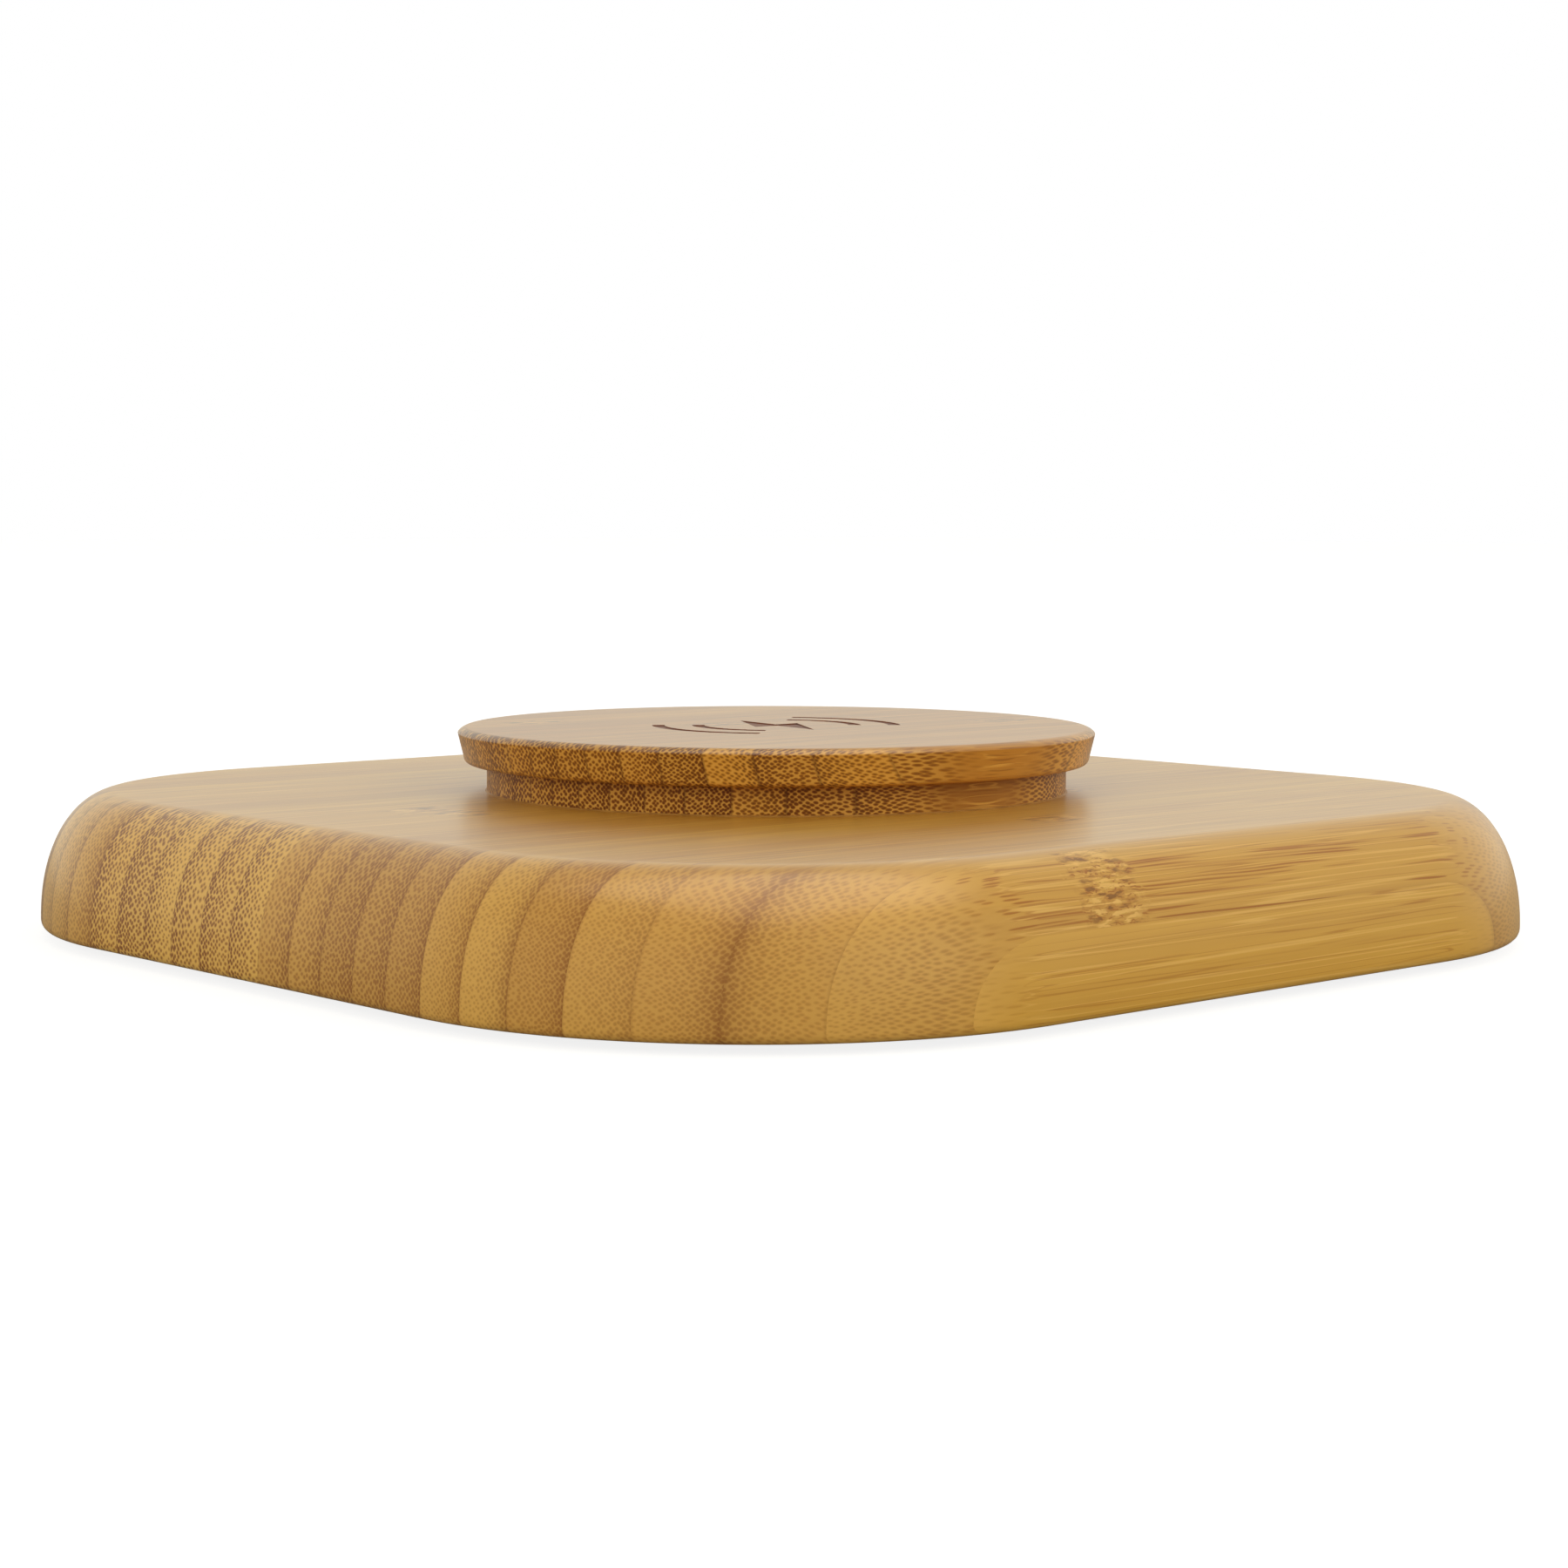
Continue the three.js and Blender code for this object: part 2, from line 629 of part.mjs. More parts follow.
// A ceramic chip capacitor with its two metal end caps standing a little proud.
function chipCapacitor() {
  const { length, width, height, capLength, capProud } = CAPACITOR;
  const capX = (length - capLength) / 2;
  return join([
    block(length, width - 2 * capProud, height - 2 * capProud, 0, 0, capProud),
    block(capLength, width, height, -capX, 0, 0),
    block(capLength, width, height, capX, 0, 0),
  ]);
}

function powerInductor() {
  const { side, corner, height, edge, dimpleR, dimpleDepth } = INDUCTOR;
  const body = pillow(roundedRectangle(side, side, corner), 0, height, edge, edge, 1, 3);
  return cut(body, [rod(dimpleR, height - dimpleDepth, height + OVERRUN)]);
}

// The light pipe ends just inside the curved outer face, at the height of its own axis.
function lightPipe() {
  const shoulderDrop = (LIGHT_PIPE.z - BASE_TOP_Z + SHOULDER_HEIGHT) / SHOULDER_HEIGHT;
  const inset = SHOULDER_WIDTH * (1 - Math.sqrt(1 - shoulderDrop ** 2));
  const setBack = 0.1;
  const length = HALF - inset - setBack - CAVITY_HALF;
  return rod(LIGHT_PIPE.r, 0, length).rotateX(-Math.PI / 2);
}

// ---- Underside ----------------------------------------------------------------------------

function bottomCover() {
  const side = 2 * (CAVITY_HALF + SHELF - FIT);
  const outline = roundedRectangle(side, side, CAVITY_CORNER_R + SHELF - FIT);
  const plate = prism(outline, COVER_BOTTOM_Z, SHELF_Z - COVER_BOTTOM_Z);
  const tools = [];
  const shankR = COVER_SCREW.threadR + HOLE_CLEARANCE;
  const sinkTopZ = FOOT_SEAT_Z + COVER_SCREW.headHeight;
  const sinkR = COVER_SCREW.headR + 2 * HOLE_CLEARANCE;
  const sinkStraight = 0.3;
  for (const [x, y] of FOOT_PLACES) {
    const sink = [
      [0, FOOT_SEAT_Z - HOLE_CLEARANCE],
      [sinkR, FOOT_SEAT_Z - HOLE_CLEARANCE],
      [sinkR, FOOT_SEAT_Z + sinkStraight],
      [shankR, sinkTopZ],
      [shankR, SHELF_Z + OVERRUN],
      [0, SHELF_Z + OVERRUN],
    ];
    tools.push(rod(FOOT_R + HOLE_CLEARANCE, BASE_BOTTOM_Z - OVERRUN, FOOT_SEAT_Z, x, y, FOOT_STEPS));
    tools.push(turned(sink, SMALL_ROUND_STEPS).translate(x, y, 0));
  }
  return cut(plate, tools);
}

function foot() {
  const rounded = 0.3 * FOOT_EDGE; // in and up to the rounding's middle point
  const profile = [
    [0, 0],
    [FOOT_R - FOOT_EDGE, 0],
    [FOOT_R - rounded, rounded],
    [FOOT_R, FOOT_EDGE],
    [FOOT_R, FOOT_SEAT_Z],
    [0, FOOT_SEAT_Z],
  ];
  return turned(profile, FOOT_STEPS);
}

// ---- Assembly -----------------------------------------------------------------------------

function piece(name, geometry, look, x = 0, y = 0, z = 0) {
  const mesh = new THREE.Mesh(geometry, new THREE.MeshStandardMaterial(look));
  mesh.name = name;
  mesh.position.set(x, y, z);
  return mesh;
}

function copies(name, geometry, look, places, z = 0) {
  return places.map(([x, y], i) => piece(`${name}_${i + 1}`, geometry, look, x, y, z));
}

function group(members, x = 0, y = 0, z = 0) {
  const holder = new THREE.Group();
  holder.position.set(x, y, z);
  holder.add(...members);
  return holder;
}

function glueRing() {
  return ring(BORE_R + GLUE_RING.inset, NECK_R - GLUE_RING.setBack, BASE_TOP_Z, NECK_FOOT_Z);
}

const woodwork = group([
  piece("base_shell", baseShell(), finish.bamboo),
  piece("charging_disc", chargingDisc(), finish.bambooDisc),
  piece("disc_glue_ring", glueRing(), finish.glue),
]);

const coilStack = group([
  piece("coil_tape", ring(COIL_INNER_R, COIL_OUTER_R, COIL_TOP_Z, POCKET_CEILING_Z), finish.tape),
  piece("charging_coil", chargingCoil(), finish.copper),
  piece("coil_lead_outer", outerLead(), finish.enamelledWire),
  piece("coil_lead_inner", innerLead(), finish.enamelledWire),
  piece("ferrite_sheet", ferriteSheet(), finish.ferrite),
  piece("thermistor", thermistor(), finish.chip),
  piece("thermistor_lead", thermistorLead(), finish.blackPlastic),
  piece("coil_carrier", coilCarrier(), finish.blackPlastic),
  ...copies("carrier_screw", screw(SMALL_SCREW), finish.steel, CARRIER_SCREW_PLACES, CARRIER_SCREW_Z),
]);

// Places on the board, from the middle of its top face.
const electronics = group(
  [
    piece("control_board", controlBoard(), finish.board),
    piece("usb_c_shell", socketShell(), finish.steel, 0, SOCKET_BACK_Y),
    piece("usb_c_tongue", socketTongue(), finish.blackPlastic, 0, SOCKET_BACK_Y),
    piece("controller_chip", chipPackage(CONTROLLER), finish.chip, ...CONTROLLER_PLACE),
    piece("power_inductor", powerInductor(), finish.ferrite, ...INDUCTOR_PLACE),
    ...copies("mosfet", chipPackage(MOSFET), finish.chip, MOSFET_PLACES),
    ...copies("resonance_capacitor", chipCapacitor(), finish.ceramicTan, CAPACITOR_PLACES),
    piece("status_led", chipPackage(LED), finish.led, ...LED_PLACE),
  ],
  0,
  BOARD_MIDDLE_Y,
  BOARD.topZ,
);

// Pieces that hold the board or line up with it, and are fixed to the base.
const boardFixings = group([
  piece("light_pipe", lightPipe(), finish.clear, LIGHT_PIPE.x, CAVITY_HALF, LIGHT_PIPE.z),
  ...copies("board_screw", screw(SMALL_SCREW), finish.steel, BOARD_SCREW_PLACES, BOARD_SCREW_Z),
]);

const underside = group([
  piece("bottom_cover", bottomCover(), finish.blackPlastic),
  ...copies("cover_screw", screw(COVER_SCREW), finish.steel, FOOT_PLACES, FOOT_SEAT_Z),
  ...copies("foot", foot(), finish.silicone, FOOT_PLACES),
]);

export default group([woodwork, coilStack, electronics, boardFixings, underside]);
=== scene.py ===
"""The looks of a bamboo wireless charging pad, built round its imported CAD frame.

Everything is in metres in the row frame: +Z up, +X along the bamboo's grain, -Y towards the user.
"""

import json
import math

import bmesh
import bpy
from mathutils import Matrix, Vector

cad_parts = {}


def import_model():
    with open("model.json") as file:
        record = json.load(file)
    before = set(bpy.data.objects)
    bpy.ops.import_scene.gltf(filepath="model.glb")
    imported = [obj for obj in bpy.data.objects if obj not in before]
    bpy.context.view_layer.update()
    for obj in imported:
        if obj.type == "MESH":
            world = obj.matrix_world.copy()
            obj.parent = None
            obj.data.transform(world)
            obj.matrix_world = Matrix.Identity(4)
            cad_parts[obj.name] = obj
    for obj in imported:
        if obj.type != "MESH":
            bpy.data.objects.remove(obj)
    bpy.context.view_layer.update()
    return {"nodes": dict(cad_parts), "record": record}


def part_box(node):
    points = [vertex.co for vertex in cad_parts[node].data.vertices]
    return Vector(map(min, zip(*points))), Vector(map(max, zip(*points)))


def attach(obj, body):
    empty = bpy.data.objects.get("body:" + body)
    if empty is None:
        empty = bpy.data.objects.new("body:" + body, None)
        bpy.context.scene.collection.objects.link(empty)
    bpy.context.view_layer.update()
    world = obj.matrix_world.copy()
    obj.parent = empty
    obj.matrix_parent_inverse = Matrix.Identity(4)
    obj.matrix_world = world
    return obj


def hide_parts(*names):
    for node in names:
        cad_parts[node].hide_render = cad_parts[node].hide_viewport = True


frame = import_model()

MM = 0.001
BODY = "root"


# ---- Sizes ----

base_low, base_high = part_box("base_shell")
disc_low, disc_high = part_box("charging_disc")
glue_low, glue_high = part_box("disc_glue_ring")
cover_low, cover_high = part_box("bottom_cover")
shell_low, shell_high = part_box("usb_c_shell")
board_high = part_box("control_board")[1]

HALF = base_high.x
BASE_BOTTOM = base_low.z
BASE_TOP = base_high.z
BASE_HEIGHT = BASE_TOP - BASE_BOTTOM
CORNER_R = 32 * MM
SHOULDER_WIDTH = 6.6 * MM
SHOULDER_HEIGHT = 10.9 * MM
SHOULDER_POWER = 2.06
BOTTOM_BREAK = 0.5 * MM

COVER_FIT = 0.15 * MM
REBATE_HALF = cover_high.x + COVER_FIT
SHELF = 2 * MM
SHELF_Z = cover_high.z
CAVITY_HALF = REBATE_HALF - SHELF
REBATE_R = CORNER_R - (HALF - REBATE_HALF)
CAVITY_R = REBATE_R - SHELF
CEILING_Z = 8.8 * MM
BORE_R = 24.3 * MM

NECK_R = 25.4 * MM
NECK_HEIGHT = 2.4 * MM
NECK_FOOT_Z = glue_high.z
RIM_TAPER = 0.5 * MM
RIM_TOP_R = disc_high.x
RIM_BOTTOM_R = RIM_TOP_R - RIM_TAPER
RIM_BOTTOM_Z = NECK_FOOT_Z + NECK_HEIGHT
RIM_ROUNDING = 0.5 * MM
DISC_TOP = disc_high.z
EASED_WIDTH = 0.8 * MM
EASED_HEIGHT = 0.5 * MM
POCKET_R = 22.6 * MM
POCKET_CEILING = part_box("coil_tape")[1].z
SPIGOT_R = 24 * MM

COVER_POST_R = 5 * MM
BOARD_POST_R = 2.4 * MM
COVER_THREAD_R = 1.1 * MM
SMALL_THREAD_R = 0.75 * MM
OVERRUN = 1 * MM

RECESS = {"width": 12.8 * MM, "height": 6.9 * MM, "corner": 3.3 * MM}
SOCKET_CORNER = 1.4 * MM
SOCKET_Z = (shell_low.z + shell_high.z) / 2
RECESS_FLOOR_Y = shell_high.y

AROUND = 288
FINE_AROUND = 64


def srgb(red, green, blue):
    """A colour given as 0 to 255 display values, in linear light."""
    def linear(value):
        value /= 255
        return value / 12.92 if value <= 0.04045 else ((value + 0.055) / 1.055) ** 2.4
    return (linear(red), linear(green), linear(blue), 1.0)


# ---- Mesh building ----

def reach(angle, half, radius):
    """How far a rounded square reaches from its centre at an angle. A circle has half = radius."""
    across, up = abs(math.cos(angle)), abs(math.sin(angle))
    core = half - radius
    straight = half / max(across, up)
    if straight * min(across, up) <= core:
        return straight
    middle = core * (across + up)
    return middle + math.sqrt(middle * middle - 2 * core * core + radius * radius)


def square_ring(half, radius, z, count=AROUND):
    ring = []
    for i in range(count):
        angle = 2 * math.pi * i / count
        far = reach(angle, half, radius)
        ring.append((far * math.cos(angle), far * math.sin(angle), z))
    return ring


def circle_ring(radius, z, count=AROUND, centre=(0, 0)):
    return [(centre[0] + x, centre[1] + y, z) for x, y, z in square_ring(radius, radius, z, count)]


def rounded_outline(width, height, corner, steps):
    """A rounded rectangle about the origin, anticlockwise, as (x, z) points."""
    points = []
    for quarter in range(4):
        sign_x = 1 if quarter in (0, 3) else -1
        sign_z = 1 if quarter in (0, 1) else -1
        for i in range(steps + 1):
            angle = math.pi / 2 * (quarter + i / steps)
            x = sign_x * (width / 2 - corner) + corner * math.cos(angle)
            z = sign_z * (height / 2 - corner) + corner * math.sin(angle)
            points.append((x, z))
    return points


def mesh_object(name, points, faces):
    mesh = bpy.data.meshes.new(name)
    mesh.from_pydata(points, [], faces)
    mesh.validate()
    built = bmesh.new()
    built.from_mesh(mesh)
    bmesh.ops.recalc_face_normals(built, faces=built.faces)
    built.to_mesh(mesh)
    built.free()
    piece = bpy.data.objects.new(name, mesh)
    bpy.context.scene.collection.objects.link(piece)
    return piece


def loft(name, rings, closed=False):
    """A skin through rings of equal count. It ends in flat caps, or joins its last ring to its first."""
    count = len(rings[0])
    points = [point for ring in rings for point in ring]
    faces = []
    spans = len(rings) if closed else len(rings) - 1
    for r in range(spans):
        low, high = r * count, (r + 1) % len(rings) * count
        for i in range(count):
            j = (i + 1) % count
            faces.append((low + i, low + j, high + j, high + i))
    if not closed:
        faces.append(tuple(reversed(range(count))))
        faces.append(tuple(range((len(rings) - 1) * count, len(rings) * count)))
    return mesh_object(name, points, faces)


def rod(name, radius, bottom, top, centre=(0, 0), count=FINE_AROUND):
    return loft(name, [circle_ring(radius, z, count, centre) for z in (bottom, top)])


def slot_prism(name, width, height, corner, from_y, to_y, centre_z, centre_x=0.0, steps=12):
    outline = rounded_outline(width, height, corner, steps)
    rings = [[(centre_x + x, y, centre_z + z) for x, z in outline] for y in (from_y, to_y)]
    return loft(name, rings)


def joined(name, pieces):
    """Several meshes as one, for pieces that don't touch each other."""
    built = bmesh.new()
    for piece in pieces:
        built.from_mesh(piece.data)
        bpy.data.objects.remove(piece)
    mesh = bpy.data.meshes.new(name)
    built.to_mesh(mesh)
    built.free()
    made = bpy.data.objects.new(name, mesh)
    bpy.context.scene.collection.objects.link(made)
    return made


def boolean(piece, tool, operation):
    """Cuts or joins the tool, which is used up."""
    change = piece.modifiers.new("change", "BOOLEAN")
    change.operation = operation
    change.solver = "EXACT"
    change.material_mode = "TRANSFER"
    change.object = tool
    apply_modifiers(piece)
    bpy.data.objects.remove(tool)


def apply_modifiers(piece):
    depsgraph = bpy.context.evaluated_depsgraph_get()
    mesh = bpy.data.meshes.new_from_object(piece.evaluated_get(depsgraph), depsgraph=depsgraph)
    piece.modifiers.clear()
    piece.data = mesh


def smooth(piece, sharp_degrees=30):
    """Smooth shading with crisp edges, and flat faces that stay flat beside rounded ones."""
    piece.data.shade_smooth()
    piece.data.set_sharp_from_angle(angle=math.radians(sharp_degrees))
    even = piece.modifiers.new("even", "WEIGHTED_NORMAL")
    even.keep_sharp = True
    apply_modifiers(piece)


def finish_piece(piece, material, slot, *nodes):
    """Gives a piece its material, and lets it stand for its CAD nodes."""
    if not piece.data.materials:
        piece.data.materials.append(material)
    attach(piece, BODY)
    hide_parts(*nodes)
    return piece


# ---- Node trees ----

class Nodes:
    """Short calls that add nodes to a node tree."""

    def __init__(self, node_tree):
        self.nodes = node_tree.nodes
        self.links = node_tree.links
        self.nodes.clear()

    def feed(self, socket, value):
        if isinstance(value, bpy.types.NodeSocket):
            self.links.new(value, socket)
        else:
            socket.default_value = value

    def add(self, kind, inputs=(), **settings):
        node = self.nodes.new(kind)
        for key, value in settings.items():
            setattr(node, key, value)
        for key, value in dict(inputs).items():
            self.feed(node.inputs[key], value)
        return node

    def math(self, operation, a, b=0.0, c=0.0, clamp=False):
        node = self.add("ShaderNodeMath", operation=operation, use_clamp=clamp)
        for socket, value in zip(node.inputs, (a, b, c)):
            self.feed(socket, value)
        return node.outputs[0]

    def step(self, value, low, high, to_low=0.0, to_high=1.0, shape="SMOOTHSTEP"):
        """A smooth step from to_low at low to to_high at high."""
        numbers = {"Value": value, "From Min": low, "From Max": high, "To Min": to_low, "To Max": to_high}
        return self.add("ShaderNodeMapRange", numbers, interpolation_type=shape).outputs["Result"]

    def line(self, value, low, high, to_low=0.0, to_high=1.0):
        """A straight ramp from to_low at low to to_high at high, held at both ends."""
        return self.step(value, low, high, to_low, to_high, "LINEAR")

    def mix(self, share, a, b):
        node = self.add("ShaderNodeMix", data_type="RGBA")
        for socket, value in zip((node.inputs[0], node.inputs[6], node.inputs[7]), (share, a, b)):
            self.feed(socket, value)
        return node.outputs[2]

    def fade(self, value, low, high, a, b):
        """The colour a where value is low, b where it is high, and a blend between."""
        return self.mix(self.line(value, low, high), a, b)

    def between(self, share, a, b):
        """a where share is 0 and b where it is 1."""
        return self.math("ADD", a, self.math("MULTIPLY", share, self.math("SUBTRACT", b, a)))

    def vector(self, x=0.0, y=0.0, z=0.0):
        return self.add("ShaderNodeCombineXYZ", {"X": x, "Y": y, "Z": z}).outputs[0]

    def split(self, vector):
        return self.add("ShaderNodeSeparateXYZ", {0: vector}).outputs

    def noise(self, vector, scale=1.0, detail=2.0, roughness=0.5, output="Fac"):
        inputs = {"Vector": vector, "Scale": scale, "Detail": detail, "Roughness": roughness}
        return self.add("ShaderNodeTexNoise", inputs).outputs[output]

    def random(self, value, output="Value"):
        """A random number, or three as a colour, for each whole number."""
        return self.add("ShaderNodeTexWhiteNoise", {"W": value}, noise_dimensions="1D").outputs[output]

    def ramp(self, value, stops):
        node = self.add("ShaderNodeValToRGB", {"Fac": value})
        elements = node.color_ramp.elements
        while len(elements) < len(stops):
            elements.new(0.5)
        for element, (position, colour) in zip(elements, stops):
            element.position = position
            element.color = colour
        return node.outputs["Color"]

    def millimetres(self):
        """The place on the object, in millimetres."""
        place = self.add("ShaderNodeTexCoord").outputs["Object"]
        scaled = self.add("ShaderNodeVectorMath", {0: place, "Scale": 1 / MM}, operation="SCALE")
        return scaled.outputs[0]


class Tree(Nodes):
    """One material: a principled shader, and the nodes that feed it."""

    def __init__(self, name):
        self.material = bpy.data.materials.new(name)
        self.material.use_nodes = True
        super().__init__(self.material.node_tree)
        output = self.add("ShaderNodeOutputMaterial")
        self.shader = self.add("ShaderNodeBsdfPrincipled")
        self.links.new(self.shader.outputs[0], output.inputs["Surface"])

    def bump(self, height, distance_mm, strength=1.0):
        inputs = {"Height": height, "Distance": distance_mm * MM, "Strength": strength}
        self.feed(self.shader.inputs["Normal"], self.add("ShaderNodeBump", inputs).outputs[0])

    def set(self, **sockets):
        """Sets the shader's sockets, named with _ for each space."""
        for key, value in sockets.items():
            self.feed(self.shader.inputs[key.replace("_", " ")], value)


# ---- Bamboo ----

def tones(low, usual, high):
    """Stops for the lowest, middle and highest chance."""
    return [(0.0, srgb(*low)), (0.5, srgb(*usual)), (1.0, srgb(*high))]


class Strips:
    """The laminated strips: flat layers side by side along Y, each cut from the wall of a cane."""

    def __init__(self, tree, layout):
        self.tree = tree
        self.pitch = layout["pitch"]
        self.place = tree.millimetres()
        self.x, self.y, self.z = tree.split(self.place)
        start, end, extra = layout["wider"]
        widened = tree.step(self.y, start, end, 0.0, extra)
        across = tree.math("SUBTRACT", tree.math("SUBTRACT", self.y, layout["first_edge"]), widened)
        count = tree.math("DIVIDE", across, self.pitch)
        self.number = tree.math("FLOOR", count)
        self.share = tree.math("FRACT", count)
        chances = tree.random(tree.math("ADD", self.number, layout["seed"]), "Color")
        self.chance_tone, self.chance_turn, self.chance_shift = tree.split(chances)
        self.knuckle_phase = layout["knuckle_phase"]
        first, last = layout["bold_run"]
        from_middle = tree.math("ABSOLUTE", tree.math("SUBTRACT", self.number, (first + last) / 2))
        self.bold = tree.math("LESS_THAN", from_middle, (last - first + 1) / 2)
        self.faint_front = layout["faint_front"]

    def outward(self):
        """0 at the strip's inner face and 1 at the cane's outer skin.

        The skin is on the side towards -Y, but the bold strips and one in four others are turned."""
        tree = self.tree
        unturned = 0.75
        turned = tree.math("MAXIMUM", tree.math("GREATER_THAN", self.chance_turn, unturned), self.bold)
        return tree.between(turned, tree.math("SUBTRACT", 1.0, self.share), self.share)

    def bundle_strength(self):
        """How dark a strip's fibre bundles are: faint in the front strips, strong in the bold ones."""
        tree = self.tree
        last_faint, first_usual = 3.0, 11.0
        usual, strong = 0.85, 1.6
        plain = tree.line(self.number, last_faint, first_usual, self.faint_front, usual)
        return tree.between(self.bold, plain, strong)

    def fineness(self):
        """The front strips are cut from near the skin, where the bundles are finer."""
        last_fine, first_usual, finest = 4.0, 10.0, 1.4
        return self.tree.line(self.number, last_fine, first_usual, finest, 1.0)

    def joint_strength(self):
        """The first joint fades out towards -X, where the two strips match. All the others show."""
        tree = self.tree
        gone_mm, full_mm = -20.0, 10.0
        outermost = tree.math("LESS_THAN", self.number, 0.5)
        return tree.between(outermost, 1.0, tree.step(self.x, gone_mm, full_mm))

    def edge_distance(self):
        """Millimetres to the nearest glued joint."""
        tree = self.tree
        nearest = tree.math("MINIMUM", self.share, tree.math("SUBTRACT", 1.0, self.share))
        return tree.math("MULTIPLY", nearest, self.pitch)

    def knuckle(self):
        """1 in the band where the strip's cane had a knuckle, at a different place in each strip."""
        tree = self.tree
        turn_per_strip, swing_mm, ragged_mm = 2.4, 95.0, 5.0
        core_mm, edge_mm = 1.4, 3.8
        swing = tree.math("MULTIPLY_ADD", self.number, turn_per_strip, self.knuckle_phase)
        middle = tree.math("MULTIPLY", tree.math("SINE", swing), swing_mm)
        ragged = tree.noise(self.place, scale=0.9, detail=3)
        off = tree.math("SUBTRACT", self.x, middle)
        off = tree.math("MULTIPLY_ADD", tree.math("SUBTRACT", ragged, 0.5), ragged_mm, off)
        return tree.step(tree.math("ABSOLUTE", off), core_mm, edge_mm, 1.0, 0.0)


def bundle_lattice(tree, strips, outward, knuckle, look):
    """The fibre bundles that run along X: the distance to the nearest, and a chance for each."""
    drift_length, drift_width, drift_mm, swirl_mm = 60.0, 12.0, 2.6, 1.8
    drift_place = tree.vector(
        tree.math("DIVIDE", strips.x, drift_length),
        tree.math("MULTIPLY_ADD", strips.number, 3.7, tree.math("DIVIDE", strips.y, drift_width)),
        tree.math("DIVIDE", strips.z, drift_width),
    )
    drift = tree.split(tree.noise(drift_place, detail=3, output="Color"))
    swirl = tree.split(tree.noise(strips.place, scale=0.75, detail=2, output="Color"))

    def wandering(value, axis):
        value = tree.math("MULTIPLY_ADD", tree.math("SUBTRACT", drift[axis], 0.5), drift_mm, value)
        strength = tree.math("MULTIPLY", knuckle, swirl_mm)
        return tree.math("MULTIPLY_ADD", tree.math("SUBTRACT", swirl[axis], 0.5), strength, value)

    # Bundles stand closer together towards the cane's outer skin, in a lattice set on its corner.
    crowding = 0.25
    crowded = tree.math("MULTIPLY_ADD", tree.math("MULTIPLY", outward, outward), crowding, outward)
    depth = tree.math("MULTIPLY", crowded, strips.pitch / (1 + crowding))
    depth_offset, height_offset = 90.0, 57.0
    depth = wandering(tree.math("MULTIPLY_ADD", strips.chance_shift, depth_offset, depth), 1)
    height = wandering(tree.math("MULTIPLY_ADD", strips.chance_tone, height_offset, strips.z), 2)
    diagonal = tree.math("MULTIPLY", strips.fineness(), math.sqrt(0.5))
    section = tree.vector(
        tree.math("MULTIPLY", tree.math("ADD", depth, height), diagonal),
        tree.math("MULTIPLY", tree.math("SUBTRACT", height, depth), diagonal),
    )
    inputs = {"Vector": section, "Scale": 1 / look["cell"], "Randomness": look["irregular"]}
    voronoi = tree.add("ShaderNodeTexVoronoi", inputs, voronoi_dimensions="2D")
    return voronoi.outputs["Distance"], tree.split(voronoi.outputs["Color"])[0]


def streaks(tree, strips, along_mm, across_per_mm, detail, roughness=0.5):
    """Noise drawn out along the grain, different in each strip."""
    place = tree.vector(
        tree.math("DIVIDE", strips.x, along_mm),
        tree.math("MULTIPLY_ADD", strips.number, 5.3, tree.math("MULTIPLY", strips.y, across_per_mm)),
        tree.math("MULTIPLY", strips.z, across_per_mm),
    )
    return tree.noise(place, detail=detail, roughness=roughness)


def ground_tissue(tree, strips, look, outward, end_grain, streak, painted_shade_bare_neck):
    """One tone for each strip, darker towards its skin and along its streaks, with painted shade on the
    neck under the disc's rim.
    """
    cloud = tree.noise(strips.place, scale=0.05, detail=2)
    tone = tree.math("ADD", strips.chance_tone, tree.line(cloud, 0.3, 0.7, -0.12, 0.12))
    ground = tree.mix(end_grain, tree.ramp(tone, look["long_tones"]), tree.ramp(tone, look["end_tones"]))
    deepest = look["skin_shade"]
    skin_shade = tree.line(strips.chance_shift, 0.0, 0.45, 0.2 * deepest, deepest)
    skin_shade = tree.math("MULTIPLY", skin_shade, strips.joint_strength())
    edge_shade = tree.math("MULTIPLY", tree.math("POWER", outward, 5.0), skin_shade)
    even_shade = 0.12
    shade = tree.math("MULTIPLY_ADD", outward, even_shade, tree.math("MULTIPLY", edge_shade, end_grain))
    # Each share pulls the colour towards the shade tone: near the skin, along the streaks, and as painted
    # shade on the neck under the rim.
    for share in (shade, tree.line(streak, 0.35, 0.72, 0.0, look["streak"]), painted_shade_bare_neck):
        ground = tree.mix(share, ground, look["shade"])
    return ground


def with_threads(tree, strips, look, colour, slant):
    """Adds hair-thin pale and dark threads where the grain runs along the surface."""
    long_grain = tree.step(slant, 0.02, 0.14, 1.0, 0.0)
    # Each kind is (noise, the level that a thread follows, its reach, its strength, its tone).
    kinds = (
        (streaks(tree, strips, 70.0, 1.3, 1), 0.5, 0.03, 0.6, look["pale"]),
        (streaks(tree, strips, 55.0, 1.9, 1), 0.47, 0.025, 0.5, look["line_tone"]),
    )
    for noise, level, reach, strength, tone in kinds:
        off = tree.math("ABSOLUTE", tree.math("SUBTRACT", noise, level))
        thread = tree.math("MULTIPLY", tree.step(off, 0.004, reach, 1.0, 0.0), long_grain)
        colour = tree.mix(tree.math("MULTIPLY", thread, strength), colour, tone)
    return colour


